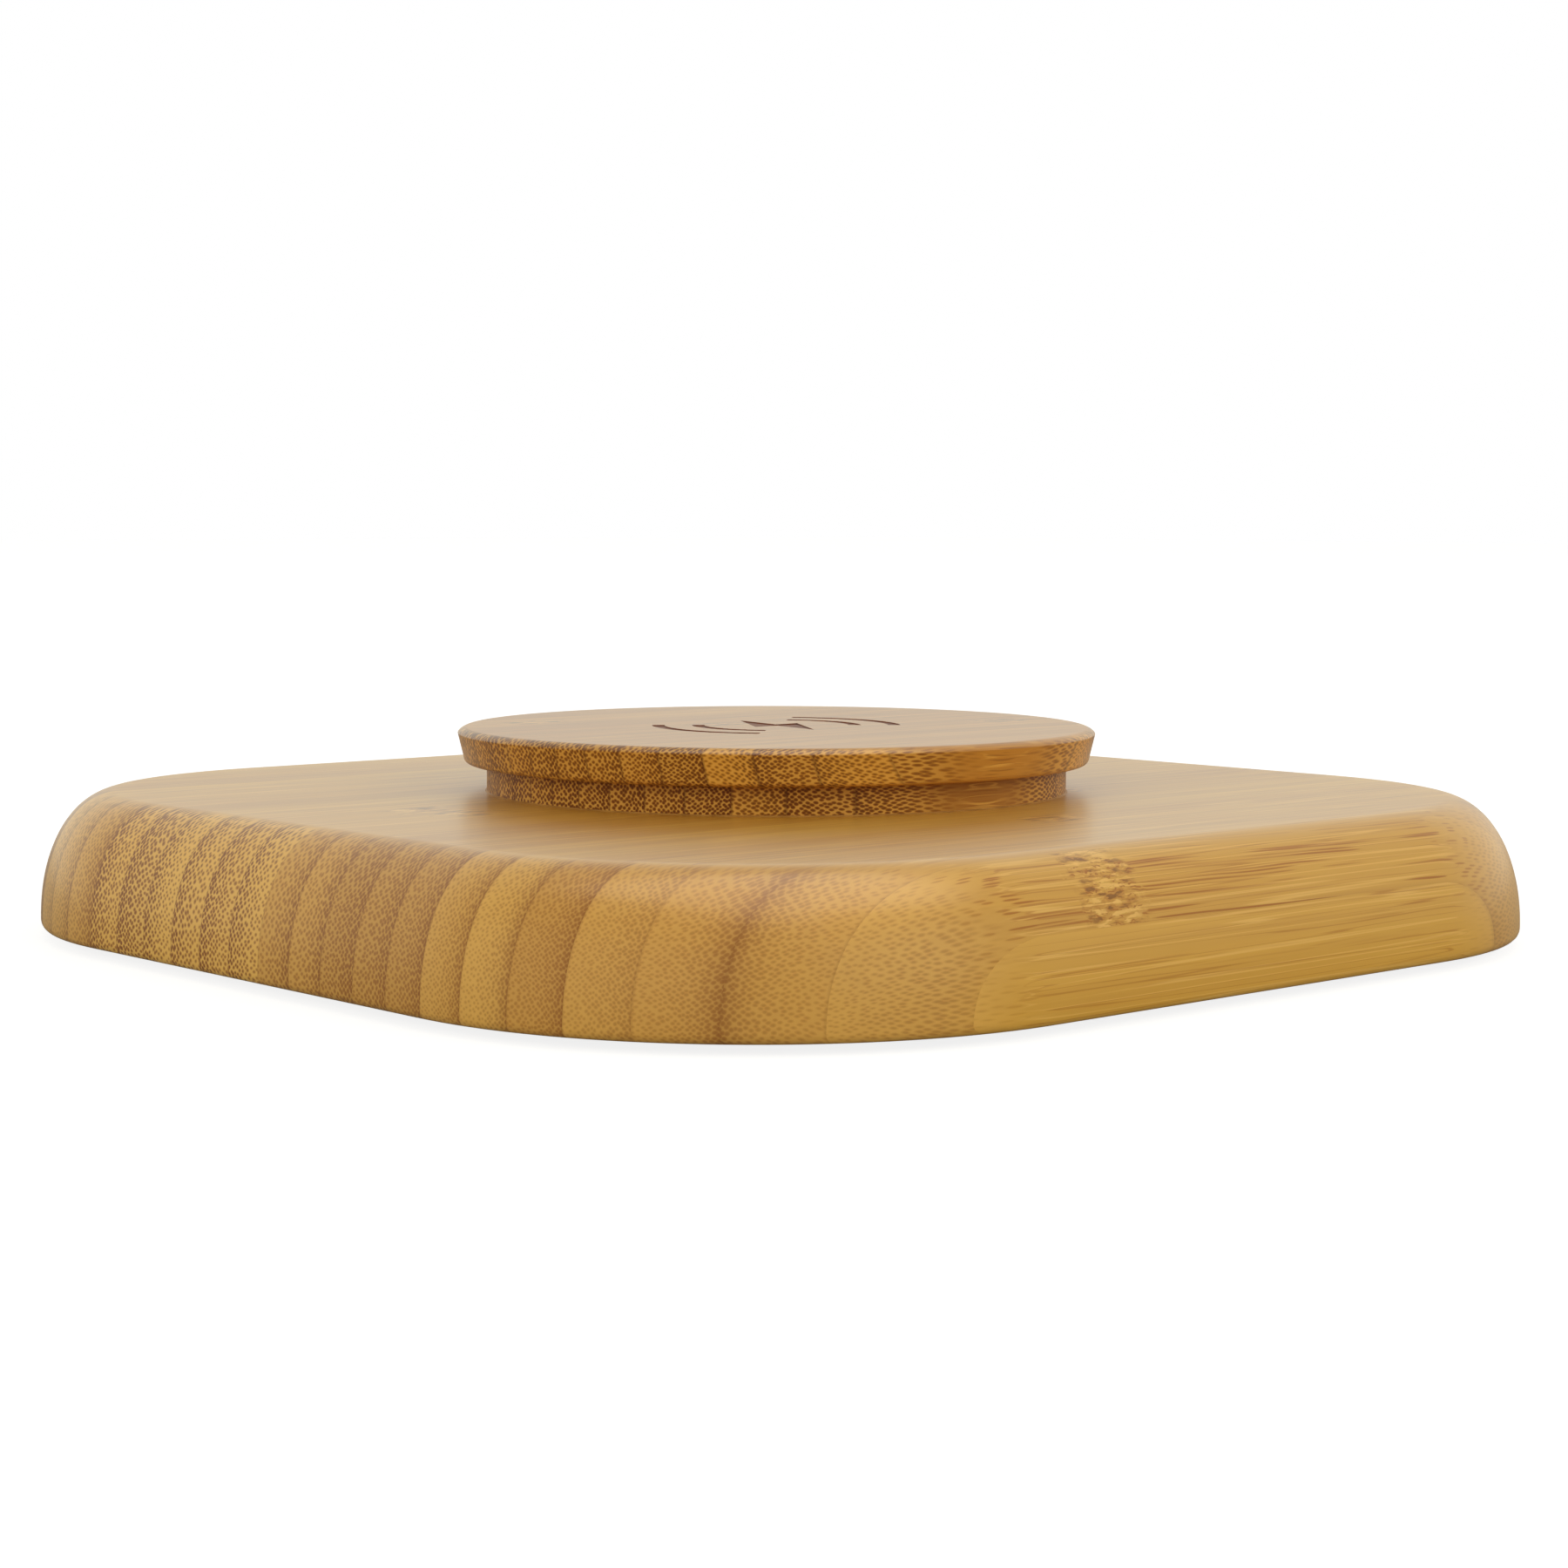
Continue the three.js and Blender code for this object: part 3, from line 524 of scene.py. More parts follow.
def with_dots(tree, strips, look, colour, outward, end_grain, bundle):
    """Adds the fibre bundles cut across: dots with pale rims, larger and darker towards the skin."""
    distance, chance = bundle
    uneven = 0.08
    radius = tree.line(outward, 0.0, 1.0, *look["dot_radius"])
    radius = tree.math("MULTIPLY_ADD", tree.math("SUBTRACT", chance, 0.5), uneven, radius)
    near = tree.math("SUBTRACT", distance, radius)
    dot = tree.math("MULTIPLY", tree.step(near, -0.17, 0.1, 1.0, 0.0), end_grain)
    rim = tree.math("MULTIPLY", tree.step(near, 0.06, 0.24), end_grain)
    strength = strips.bundle_strength()
    rim_strength = tree.math("MULTIPLY", strength, look["rim"], clamp=True)
    colour = tree.mix(tree.math("MULTIPLY", rim, rim_strength), colour, look["pale"])
    dot_strength = tree.line(outward, 0.0, 1.0, *look["dot"])
    dot_strength = tree.math("MULTIPLY", dot_strength, strength, clamp=True)
    return tree.mix(tree.math("MULTIPLY", dot, dot_strength), colour, look["dot_tone"])


def with_lines(tree, strips, look, colour, slant, bundle):
    """Adds the fibre bundles cut along: thin lines that fade in and out."""
    distance, chance = bundle
    long_grain = tree.step(slant, 0.04, 0.3, 1.0, 0.0)
    fade = tree.line(streaks(tree, strips, 22.0, 0.9, 2), 0.38, 0.54, 0.1, 1.0)
    strength = tree.math("MULTIPLY", tree.step(chance, 0.3, 0.7), fade)
    strip_strength = tree.line(strips.chance_shift, 0.1, 0.95, look["line"], 0.3)
    strength = tree.math("MULTIPLY", strength, strip_strength)
    line = tree.math("MULTIPLY", tree.step(distance, 0.18, 0.34, 1.0, 0.0), long_grain)
    return tree.mix(tree.math("MULTIPLY", line, strength), colour, look["line_tone"])


def with_flecks(tree, strips, look, colour, knuckle):
    """Adds ragged warm, pale and dark flecks in the knuckles, a little longer along the grain."""
    length, width, height = 2.2, 0.6, 0.5
    place = tree.vector(
        tree.math("DIVIDE", strips.x, length),
        tree.math("DIVIDE", strips.y, width),
        tree.math("DIVIDE", strips.z, height),
    )
    fleck = tree.noise(place, detail=3, roughness=0.6)
    kinds = (
        (0.49, 0.56, 0.6, look["line_tone"]),
        (0.46, 0.4, 0.8, look["pale"]),
        (0.565, 0.62, 0.95, look["fleck_dark"]),
    )
    for none, full, strength, tone in kinds:
        share = tree.math("MULTIPLY", tree.step(fleck, none, full), knuckle)
        colour = tree.mix(tree.math("MULTIPLY", share, strength), colour, tone)
    return colour


def with_joints(tree, strips, look, colour, end_grain):
    """Adds a thin dark line of glue at each joint, clearer in the end grain."""
    in_long_grain = 0.1
    glue = tree.step(strips.edge_distance(), 0.02, 0.16, 1.0, 0.0)
    strength = tree.between(end_grain, in_long_grain, look["glue"])
    strength = tree.math("MULTIPLY", strength, strips.joint_strength())
    return tree.mix(tree.math("MULTIPLY", glue, strength), colour, look["dot_tone"])


def bamboo(name, layout, look):
    """Lacquered laminated bamboo. layout places the strips, and look holds the tones."""
    tree = Tree(name)
    strips = Strips(tree, layout)
    outward = strips.outward()
    knuckle = strips.knuckle()
    bundle = bundle_lattice(tree, strips, outward, knuckle, look)
    slant = tree.math("ABSOLUTE", tree.split(tree.add("ShaderNodeTexCoord").outputs["Normal"])[0])
    end_grain = tree.step(slant, 0.05, 0.34)
    streak = streaks(tree, strips, 45.0, 1.1, 3, 0.55)
    # Painted shade: below the given height, which on the disc is the neck under the rim's overhang, the
    # colour is pulled towards the shade tone and the lacquer coat is thinned.
    shaded_below_z, strongest_neck_shade = look["shaded_below"], 0.6
    painted_shade_bare_neck = tree.step(strips.z, shaded_below_z - 0.3, shaded_below_z, strongest_neck_shade, 0.0)

    colour = ground_tissue(tree, strips, look, outward, end_grain, streak, painted_shade_bare_neck)
    colour = with_threads(tree, strips, look, colour, slant)
    colour = with_dots(tree, strips, look, colour, outward, end_grain, bundle)
    colour = with_lines(tree, strips, look, colour, slant, bundle)
    colour = with_flecks(tree, strips, look, colour, knuckle)
    colour = with_joints(tree, strips, look, colour, end_grain)
    tree.bump(streak, 0.004)
    tree.set(
        Base_Color=colour,
        Roughness=0.55,
        Specular_IOR_Level=0.1,
        Coat_Weight=tree.math("SUBTRACT", 1.0, painted_shade_bare_neck),
        Coat_Roughness=0.32,
    )
    return tree.material


BASE_LOOK = {
    "cell": 0.42,
    "irregular": 0.5,
    "long_tones": tones((195, 138, 42), (206, 150, 49), (213, 160, 59)),
    "end_tones": tones((174, 118, 48), (196, 140, 62), (218, 165, 78)),
    "skin_shade": 0.6,
    "shade": srgb(146, 88, 30),
    "streak": 0.14,
    "shaded_below": 0.0,
    "line": 1.0,
    "line_tone": srgb(168, 100, 4),
    "pale": srgb(232, 182, 90),
    "dot_radius": (0.2, 0.34),
    "dot": (0.4, 0.66),
    "rim": 0.5,
    "dot_tone": srgb(128, 72, 20),
    "fleck_dark": srgb(134, 82, 0),
    "glue": 0.2,
}

DISC_LOOK = {
    "cell": 0.4,
    "irregular": 0.5,
    "long_tones": tones((184, 122, 40), (196, 134, 48), (206, 146, 58)),
    "end_tones": tones((128, 76, 18), (162, 104, 32), (204, 142, 48)),
    "skin_shade": 0.4,
    "shade": srgb(120, 66, 18),
    "streak": 0.2,
    # Painted shade on the neck, under the rim's overhang, below this height in millimetres.
    "shaded_below": RIM_BOTTOM_Z / MM,
    "line": 0.8,
    "line_tone": srgb(124, 66, 12),
    "pale": srgb(222, 166, 74),
    "dot_radius": (0.24, 0.35),
    "dot": (0.6, 0.9),
    "rim": 0.75,
    "dot_tone": srgb(84, 42, 10),
    "fleck_dark": srgb(78, 38, 8),
    "glue": 0.5,
}

# Where the strips' joints lie, in millimetres along Y. "wider" says from where to where the strips
# are wider, and by how much in all. "bold_run" is the first and last of the strips with dark
# bundles, and the disc has none.
BASE_STRIPS = {
    "pitch": 4.212,
    "first_edge": -54.1,
    "wider": (-50.5, -37.0, 1.05),
    "seed": 540526,
    "knuckle_phase": -0.164,
    "bold_run": (12, 17),
    "faint_front": 0.5,
}
DISC_STRIPS = {
    "pitch": 3.12,
    "first_edge": -28.76,
    "wider": (0.0, 1.0, 0.0),
    "seed": 525471,
    "knuckle_phase": 1.1,
    "bold_run": (0, -1),
    "faint_front": 0.85,
}


def burnt_bamboo():
    """The floor and walls of the engraving, scorched by a laser."""
    tree = Tree("burnt_bamboo")
    place = tree.millimetres()
    x, y, z = tree.split(place)
    fibre_place = tree.vector(tree.math("DIVIDE", x, 5.0), tree.math("MULTIPLY", y, 4.0), z)
    fibre = tree.noise(fibre_place, detail=4)
    patch = tree.noise(place, scale=0.9, detail=3)
    amount = tree.math("MULTIPLY_ADD", patch, 0.4, tree.math("MULTIPLY", fibre, 0.6))
    tones = [(0.3, srgb(96, 50, 32)), (0.55, srgb(126, 72, 48)), (0.75, srgb(160, 102, 66))]
    tree.bump(fibre, 0.06, 0.6)
    tree.set(Base_Color=tree.ramp(amount, tones), Roughness=0.75, Coat_Weight=0.2, Coat_Roughness=0.4)
    return tree.material


# ---- Other materials ----

def moulded_plastic(name, colour, grain_mm=0.35, roughness=(0.5, 0.66)):
    """Dark moulded plastic with a fine eroded texture."""
    tree = Tree(name)
    place = tree.millimetres()
    grain = tree.noise(place, scale=1 / grain_mm, detail=3)
    haze = tree.noise(place, scale=0.06, detail=2)
    lighter = tuple(min(1.0, 1.5 * c + 0.004) for c in colour[:3]) + (1.0,)
    tree.set(
        Base_Color=tree.fade(haze, 0.35, 0.65, colour, lighter),
        Roughness=tree.line(grain, 0.3, 0.7, *roughness),
        Specular_IOR_Level=0.45,
    )
    tree.bump(grain, 0.03, 0.7)
    return tree.material


def silicone():
    tree = Tree("silicone")
    place = tree.millimetres()
    dust = tree.step(tree.noise(place, scale=1.6, detail=5, roughness=0.7), 0.55, 0.75)
    colour = tree.mix(tree.math("MULTIPLY", dust, 0.3), srgb(36, 36, 38), srgb(92, 90, 86))
    tree.set(Base_Color=colour, Roughness=0.82, Specular_IOR_Level=0.3)
    tree.bump(tree.noise(place, scale=5, detail=2), 0.02, 0.5)
    return tree.material


def plated_metal(name, colour, roughness=(0.22, 0.38), lines_mm=0.12):
    """Plated sheet or wire, with faint rolling lines along Y."""
    tree = Tree(name)
    place = tree.millimetres()
    x, y, z = tree.split(place)
    length_mm = 4.0
    rolled = tree.vector(
        tree.math("DIVIDE", x, lines_mm),
        tree.math("DIVIDE", y, length_mm),
        tree.math("DIVIDE", z, lines_mm),
    )
    lines = tree.noise(rolled, detail=3)
    smudge = tree.noise(place, scale=0.5, detail=3)
    darker = tuple(0.72 * c for c in colour[:3]) + (1.0,)
    tree.set(
        Base_Color=tree.fade(smudge, 0.35, 0.7, colour, darker),
        Metallic=1.0,
        Roughness=tree.line(lines, 0.3, 0.7, *roughness),
    )
    tree.bump(lines, 0.008, 0.6)
    return tree.material


def mottled(name, scale, detail, dark, light, low=0.3, high=0.7, roughness=0.5):
    """A tree whose colour wanders between two tones, and the noise that it follows."""
    tree = Tree(name)
    cloud = tree.noise(tree.millimetres(), scale, detail, roughness)
    tree.set(Base_Color=tree.fade(cloud, low, high, srgb(*dark), srgb(*light)))
    return tree, cloud


def enamelled_copper():
    """Stranded copper under clear enamel: fine twisted strands and a warm gloss."""
    tree, strand = mottled("enamelled_copper", 5.5, 2, (148, 70, 34), (224, 132, 76), 0.35, 0.65)
    tree.set(Metallic=1.0, Roughness=0.34, Coat_Weight=0.8, Coat_Roughness=0.1)
    tree.bump(strand, 0.05, 0.8)
    return tree.material


def ferrite():
    tree, grit = mottled("ferrite", 3, 5, (34, 33, 35), (70, 68, 68), 0.35, roughness=0.7)
    tree.set(Roughness=tree.line(grit, 0.3, 0.7, 0.6, 0.85))
    tree.bump(grit, 0.02, 0.5)
    return tree.material


def circuit_board():
    """Green solder mask with copper tracks and tinned pads just showing through."""
    tree = Tree("circuit_board")
    place = tree.millimetres()
    x, y, _ = tree.split(place)
    per_mm, track_width = 0.55, 0.06
    layout = {"Vector": tree.vector(x, y), "Scale": per_mm, "Mortar Size": track_width}
    gaps = tree.add("ShaderNodeTexBrick", layout).outputs["Fac"]
    tracks = tree.math("SUBTRACT", 1.0, gaps)
    weave = tree.noise(place, scale=4, detail=2)
    mask = tree.fade(weave, 0.3, 0.7, srgb(14, 74, 38), srgb(22, 96, 50))
    colour = tree.mix(tree.math("MULTIPLY", tracks, 0.55), mask, srgb(52, 130, 74))
    tree.set(Base_Color=colour, Roughness=0.32, Coat_Weight=0.5, Coat_Roughness=0.15)
    tree.bump(tracks, 0.03, 0.6)
    return tree.material


def fired_ceramic():
    """The tan, speckled bodies of the chip capacitors."""
    tree, _ = mottled("fired_ceramic", 6, 3, (150, 112, 78), (186, 146, 104), 0.35)
    tree.set(Roughness=0.48)
    return tree.material


def clear_acrylic():
    tree = Tree("clear_acrylic")
    cloud = tree.noise(tree.millimetres(), scale=0.8, detail=2)
    tree.set(
        Base_Color=srgb(236, 244, 248),
        Roughness=tree.line(cloud, 0.3, 0.7, 0.04, 0.1),
        IOR=1.49,
        Transmission_Weight=0.85,
    )
    return tree.material


def led_resin():
    tree, _ = mottled("led_resin", 2, 2, (240, 232, 196), (252, 246, 222))
    tree.set(Roughness=0.35, Subsurface_Weight=0.3, Subsurface_Scale=0.5 * MM)
    return tree.material


def dried_glue():
    tree, _ = mottled("dried_glue", 0.7, 4, (150, 104, 48), (182, 132, 66))
    tree.set(Roughness=0.5)
    return tree.material


def paper_tape():
    tree, fibre = mottled("paper_tape", 2.5, 5, (214, 204, 178), (236, 230, 212), roughness=0.7)
    tree.set(Roughness=0.85)
    tree.bump(fibre, 0.02, 0.5)
    return tree.material


# ---- Bamboo base ----

def superellipse(share, power):
    """A point on a quarter superellipse: (in from the side, up from its foot), each from 0 to 1."""
    angle = share * math.pi / 2
    inward = 1 - math.cos(angle) ** (2 / power)
    upward = math.sin(angle) ** (2 / power)
    return inward, upward


def base_rings():
    """Rings round the base: from the cover's rebate out, up the side, over the top and inside."""
    break_steps, shoulder_steps, top_steps = 4, 30, 8
    rings = [square_ring(REBATE_HALF, REBATE_R, BASE_BOTTOM)]

    def outside(inset, z):
        rings.append(square_ring(HALF - inset, CORNER_R - inset, z))

    break_height = BASE_HEIGHT - SHOULDER_HEIGHT
    for i in range(break_steps):
        inward, upward = superellipse(1 - i / break_steps, 2)
        outside(BOTTOM_BREAK * inward, BASE_BOTTOM + break_height * (1 - upward))
    for i in range(shoulder_steps + 1):
        inward, upward = superellipse(i / shoulder_steps, SHOULDER_POWER)
        outside(SHOULDER_WIDTH * inward, BASE_BOTTOM + break_height + SHOULDER_HEIGHT * upward)
    top_half, top_r = HALF - SHOULDER_WIDTH, CORNER_R - SHOULDER_WIDTH
    for i in range(1, top_steps + 1):
        share = i / top_steps
        half = top_half + (BORE_R - top_half) * share
        radius = top_r + (BORE_R - top_r) * share
        rings.append(square_ring(half, radius, BASE_TOP))
    rings.append(circle_ring(BORE_R, CEILING_Z))
    rings.append(square_ring(CAVITY_HALF, CAVITY_R, CEILING_Z))
    rings.append(square_ring(CAVITY_HALF, CAVITY_R, SHELF_Z))
    rings.append(square_ring(REBATE_HALF, REBATE_R, SHELF_Z))
    return rings


def numbered(stem, count):
    return [f"{stem}_{i + 1}" for i in range(count)]


def middle(node):
    low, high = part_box(node)
    return ((low.x + high.x) / 2, (low.y + high.y) / 2)


def screw_rods(prefix, kinds, count=FINE_AROUND):
    """A rod on each screw's axis. kinds lists (stem, how many, radius, bottom, top)."""
    return [
        rod(f"{prefix}_{node}", radius, bottom, top, middle(node), count)
        for stem, number, radius, bottom, top in kinds
        for node in numbered(stem, number)
    ]


def screw_posts():
    root_z = CEILING_Z + OVERRUN
    kinds = [
        ("cover_screw", 4, COVER_POST_R, SHELF_Z, root_z),
        ("board_screw", 3, BOARD_POST_R, board_high.z, root_z),
    ]
    return joined("posts", screw_rods("post", kinds))


def screw_pilots():
    clearance = 0.1 * MM
    below = OVERRUN / 2
    threads = [
        ("cover_screw", 4, COVER_THREAD_R, SHELF_Z - OVERRUN),
        ("board_screw", 3, SMALL_THREAD_R, board_high.z - below),
        ("carrier_screw", 3, SMALL_THREAD_R, CEILING_Z - below),
    ]
    kinds = [
        (stem, number, radius + clearance, bottom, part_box(f"{stem}_1")[1].z + clearance)
        for stem, number, radius, bottom in threads
    ]
    return screw_rods("pilot", kinds, 24)


def rear_cutters():
    """Cutters for the plug's recess, the socket's slot and the light guide's bore."""
    clearance = 0.3 * MM
    inside, beyond = CAVITY_HALF - OVERRUN, HALF + 2 * OVERRUN
    recess = slot_prism(
        "recess", RECESS["width"], RECESS["height"], RECESS["corner"], RECESS_FLOOR_Y, beyond, SOCKET_Z
    )
    socket_slot = slot_prism(
        "socket_slot",
        shell_high.x - shell_low.x + clearance,
        shell_high.z - shell_low.z + clearance,
        SOCKET_CORNER + clearance / 2,
        inside,
        RECESS_FLOOR_Y + OVERRUN,
        SOCKET_Z,
    )
    pipe_low, pipe_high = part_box("light_pipe")
    across = pipe_high.x - pipe_low.x + clearance
    pipe_x, _, pipe_z = (pipe_low + pipe_high) / 2
    pipe_bore = slot_prism("pipe_bore", across, across, across / 2, inside, beyond, pipe_z, pipe_x)
    return recess, socket_slot, pipe_bore


def bamboo_base(material):
    base = loft("bamboo_base", base_rings(), closed=True)
    base.data.materials.append(material)
    boolean(base, screw_posts(), "UNION")
    recess, socket_slot, pipe_bore = rear_cutters()
    boolean(base, recess, "DIFFERENCE")
    boolean(base, socket_slot, "DIFFERENCE")
    boolean(base, joined("bores", [pipe_bore, *screw_pilots()]), "DIFFERENCE")
    smooth(base)
    return finish_piece(base, material, "bamboo_base", "base_shell")


# ---- Charging disc ----

MARK_DEPTH = 0.1 * MM
MARK_ARC = {"half_angle": 0.7, "width": 1.1 * MM, "radii": (6.9 * MM, 10.4 * MM)}
BOLT = [(1.4, 6.4), (-3.0, -0.6), (-0.5, -0.6), (-1.4, -6.4), (3.0, 0.6), (0.5, 0.6)]


def disc_rings():
    """Rings from the pocket's ceiling down its wall, round the spigot and neck, and over the rim."""
    profile = [
        (POCKET_R, POCKET_CEILING),
        (POCKET_R, disc_low.z),
        (SPIGOT_R, disc_low.z),
        (SPIGOT_R, NECK_FOOT_Z),
        (NECK_R, NECK_FOOT_Z),
    ]
    fillet, fillet_steps = 0.25 * MM, 3
    for i in range(fillet_steps + 1):
        inward, upward = superellipse(i / fillet_steps, 2)
        profile.append((NECK_R + fillet * inward, RIM_BOTTOM_Z - fillet + fillet * upward))
    rounding_steps = 6
    for i in range(rounding_steps + 1):
        inward, upward = superellipse(1 - i / rounding_steps, 2)
        radius = RIM_BOTTOM_R - RIM_ROUNDING * inward
        profile.append((radius, RIM_BOTTOM_Z + RIM_ROUNDING * (1 - upward)))
    eased_steps = 8
    for i in range(eased_steps + 1):
        inward, upward = superellipse(i / eased_steps, 1.5)
        radius = RIM_TOP_R - EASED_WIDTH * inward
        profile.append((radius, DISC_TOP - EASED_HEIGHT + EASED_HEIGHT * upward))
    profile.append((RIM_TOP_R - 2 * EASED_WIDTH, DISC_TOP))
    profile.append((POCKET_R, DISC_TOP))
    return [circle_ring(radius, z) for radius, z in profile]


def prism(name, outline, bottom, top):
    return loft(name, [[(x, y, z) for x, y in outline] for z in (bottom, top)])


def arc_outline(radius, width, middle_angle, half_angle, steps=28):
    def side(at_radius):
        angles = [middle_angle + half_angle * (2 * i / steps - 1) for i in range(steps + 1)]
        return [(at_radius * math.cos(angle), at_radius * math.sin(angle)) for angle in angles]
    return side(radius + width / 2) + side(radius - width / 2)[::-1]


def charging_mark(material):
    """A bolt between two pairs of arcs, as one cutter whose faces bring the scorched material."""
    bottom, top = DISC_TOP - MARK_DEPTH, DISC_TOP + MARK_DEPTH
    tools = [prism("bolt", [(x * MM, y * MM) for x, y in BOLT], bottom, top)]
    for middle_angle in (0, math.pi):
        for radius in MARK_ARC["radii"]:
            outline = arc_outline(radius, MARK_ARC["width"], middle_angle, MARK_ARC["half_angle"])
            tools.append(prism("arc", outline, bottom, top))
    mark = joined("mark", tools)
    mark.data.materials.append(material)
    return mark


def bamboo_disc(material, scorched):
    disc = loft("bamboo_disc", disc_rings())
    disc.data.materials.append(material)
    boolean(disc, charging_mark(scorched), "DIFFERENCE")
    smooth(disc)
    return finish_piece(disc, material, "bamboo_disc", "charging_disc")


# ---- Underside and socket ----

def cover(material):
    """The bottom plate, with a well for each foot and a sunk hole for each screw."""
    half, radius, break_ = cover_high.x, REBATE_R - COVER_FIT, 0.25 * MM
    steps = 4
    rings = []
    for i in range(steps + 1):
        inward, upward = superellipse(1 - i / steps, 2)
        inset = break_ * inward
        rings.append(square_ring(half - inset, radius - inset, cover_low.z + break_ * (1 - upward)))
    rings.append(square_ring(half, radius, cover_high.z))
    plate = loft("cover_plate", rings)
    plate.data.materials.append(material)
    well_r, sink_r, shank_r = 5.1 * MM, 2.2 * MM, 1.2 * MM
    head_height, sink_straight = 1.1 * MM, 0.3 * MM
    below, above = cover_low.z - OVERRUN, cover_high.z + OVERRUN
    wells = []
    for foot, screw_node in zip(numbered("foot", 4), numbered("cover_screw", 4)):
        centre = middle(screw_node)
        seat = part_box(foot)[1].z
        profile = [(well_r, below), (well_r, seat), (sink_r, seat), (sink_r, seat + sink_straight)]
        profile += [(shank_r, seat + head_height), (shank_r, above)]
        wells.append(loft("well", [circle_ring(r, z, FINE_AROUND, centre) for r, z in profile]))
    boolean(plate, joined("wells", wells), "DIFFERENCE")
    smooth(plate)
    return finish_piece(plate, material, "black_plastic", "bottom_cover")


def silicone_foot(node, material):
    """A foot with a rounded rim and three shallow grip rings on its underside."""
    low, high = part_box(node)
    centre = middle(node)
    radius = (high.x - low.x) / 2
    rim, innermost = 0.4 * MM, 0.02 * MM
    profile = [(innermost, low.z)]
    groove, groove_width = 0.12 * MM, 0.3 * MM
    ring_radii = (1.4 * MM, 2.6 * MM, 3.8 * MM)
    for at in ring_radii:
        profile += [
            (at - groove_width, low.z),
            (at - groove_width / 2, low.z + groove),
            (at + groove_width / 2, low.z + groove),
            (at + groove_width, low.z),
        ]
    steps = 6
    for i in range(steps + 1):
        inward, upward = superellipse(1 - i / steps, 2)
        profile.append((radius - rim * inward, low.z + rim * (1 - upward)))
    profile.append((radius, high.z))
    piece = loft(f"silicone_{node}", [circle_ring(r, z, FINE_AROUND, centre) for r, z in profile])
    smooth(piece, 40)
    return finish_piece(piece, material, "silicone", node)


def socket_shell(material):
    """The drawn steel shell, open towards +Y, with a rolled lip."""
    width, height = shell_high.x - shell_low.x, shell_high.z - shell_low.z
    wall, lip, steps = 0.3 * MM, 0.08 * MM, 10
    stations = [
        (0, shell_low.y),
        (0, shell_high.y - lip),
        (lip, shell_high.y),
        (wall - lip, shell_high.y),
        (wall, shell_high.y - lip),
        (wall, shell_low.y + wall),
    ]
    rings = []
    for inset, y in stations:
        outline = rounded_outline(width - 2 * inset, height - 2 * inset, SOCKET_CORNER - inset, steps)
        rings.append([(x, y, SOCKET_Z + z) for x, z in outline])
    piece = loft("socket_shell", rings)
    smooth(piece)
    return finish_piece(piece, material, "socket_steel", "usb_c_shell")


def box_mesh(name, low, high):
    """A box with slightly broken edges."""
    break_ = 0.06 * MM
    (x0, y0, z0), (x1, y1, z1) = low, high
    insets = [(break_, z0), (0, z0 + break_), (0, z1 - break_), (break_, z1)]
    rings = [
        [(x0 + i, y0 + i, z), (x1 - i, y0 + i, z), (x1 - i, y1 - i, z), (x0 + i, y1 - i, z)]
        for i, z in insets
    ]
    return loft(name, rings)


def socket_tongue(plastic, gold):
    """The tongue in the socket's middle, with twelve gold contacts on each face."""
    low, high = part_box("usb_c_tongue")
    root_length, bare_tip = 1.2 * MM, 0.5 * MM
    root_y = low.y + root_length
    thickness, contact_proud = 0.7 * MM, 0.03 * MM
    half_z = thickness / 2
    inset = 0.05 * MM
    root = box_mesh("tongue_root", low, (high.x, root_y, high.z))
    plate_low = (low.x + inset, root_y, SOCKET_Z - half_z)
    plate = box_mesh("tongue_plate", plate_low, (high.x - inset, high.y, SOCKET_Z + half_z))
    body = joined("tongue", [root, plate])
    finish_piece(body, plastic, "black_plastic", "usb_c_tongue")
    contacts = []
    count, pitch, width = 12, 0.5 * MM, 0.25 * MM
    tip_y = high.y - bare_tip
    for side in (-1, 1):
        face = SOCKET_Z + side * half_z
        bottom, top = sorted((face, face + side * contact_proud))
        for i in range(count):
            x = (i - (count - 1) / 2) * pitch
            x0, x1 = x - width / 2, x + width / 2
            outline = [(x0, root_y), (x1, root_y), (x1, tip_y), (x0, tip_y)]
            contacts.append(prism("contact", outline, bottom, top))
    strip = joined("tongue_contacts", contacts)
    strip.data.materials.append(gold)
    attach(strip, BODY)


def light_guide(material):
    """The clear rod whose domed end shows beside the socket."""
    low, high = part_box("light_pipe")
    radius = (high.x - low.x) / 2
    centre_x, centre_z = (low.x + high.x) / 2, (low.z + high.z) / 2
    dome = 0.3 * MM
    stations = [(radius, low.y), (radius, high.y - dome)]
    steps = 6
    for i in range(1, steps):
        inward, upward = superellipse(i / steps, 2)
        stations.append((radius * (1 - inward), high.y - dome + dome * upward))
    around = 40
    turn = [2 * math.pi * i / around for i in range(around)]
    rings = []
    for at_radius, y in stations:
        ring = [(at_radius * math.cos(angle), at_radius * math.sin(angle)) for angle in turn]
        rings.append([(centre_x + x, y, centre_z + z) for x, z in ring])
    piece = loft("light_guide", rings)
    smooth(piece)
    return finish_piece(piece, material, "clear_acrylic", "light_pipe")


def glue_line(material):
    """The thin bead of glue that shows at the foot of the neck."""
    inner, outer = BORE_R + 0.5 * MM, NECK_R + 0.15 * MM
    profile = [(inner, glue_low.z), (outer, glue_low.z), (NECK_R, glue_high.z), (inner, glue_high.z)]
    piece = loft("glue_line", [circle_ring(r, z) for r, z in profile], closed=True)
    smooth(piece)
    return finish_piece(piece, material, "wood_glue", "disc_glue_ring")


# ---- Camera, light and floor ----

# The view, for a base whose sides are view_side long, standing on z = 0.
VIEW = {
    "view_side": 100,
    "yaw": 42.142,
    "elevation": 5.042,
    "roll": -0.159,
    "distance": 241.935,
    "right": -0.608,
    "up": -10.859,
    "focal_widths": 1.91794,
}


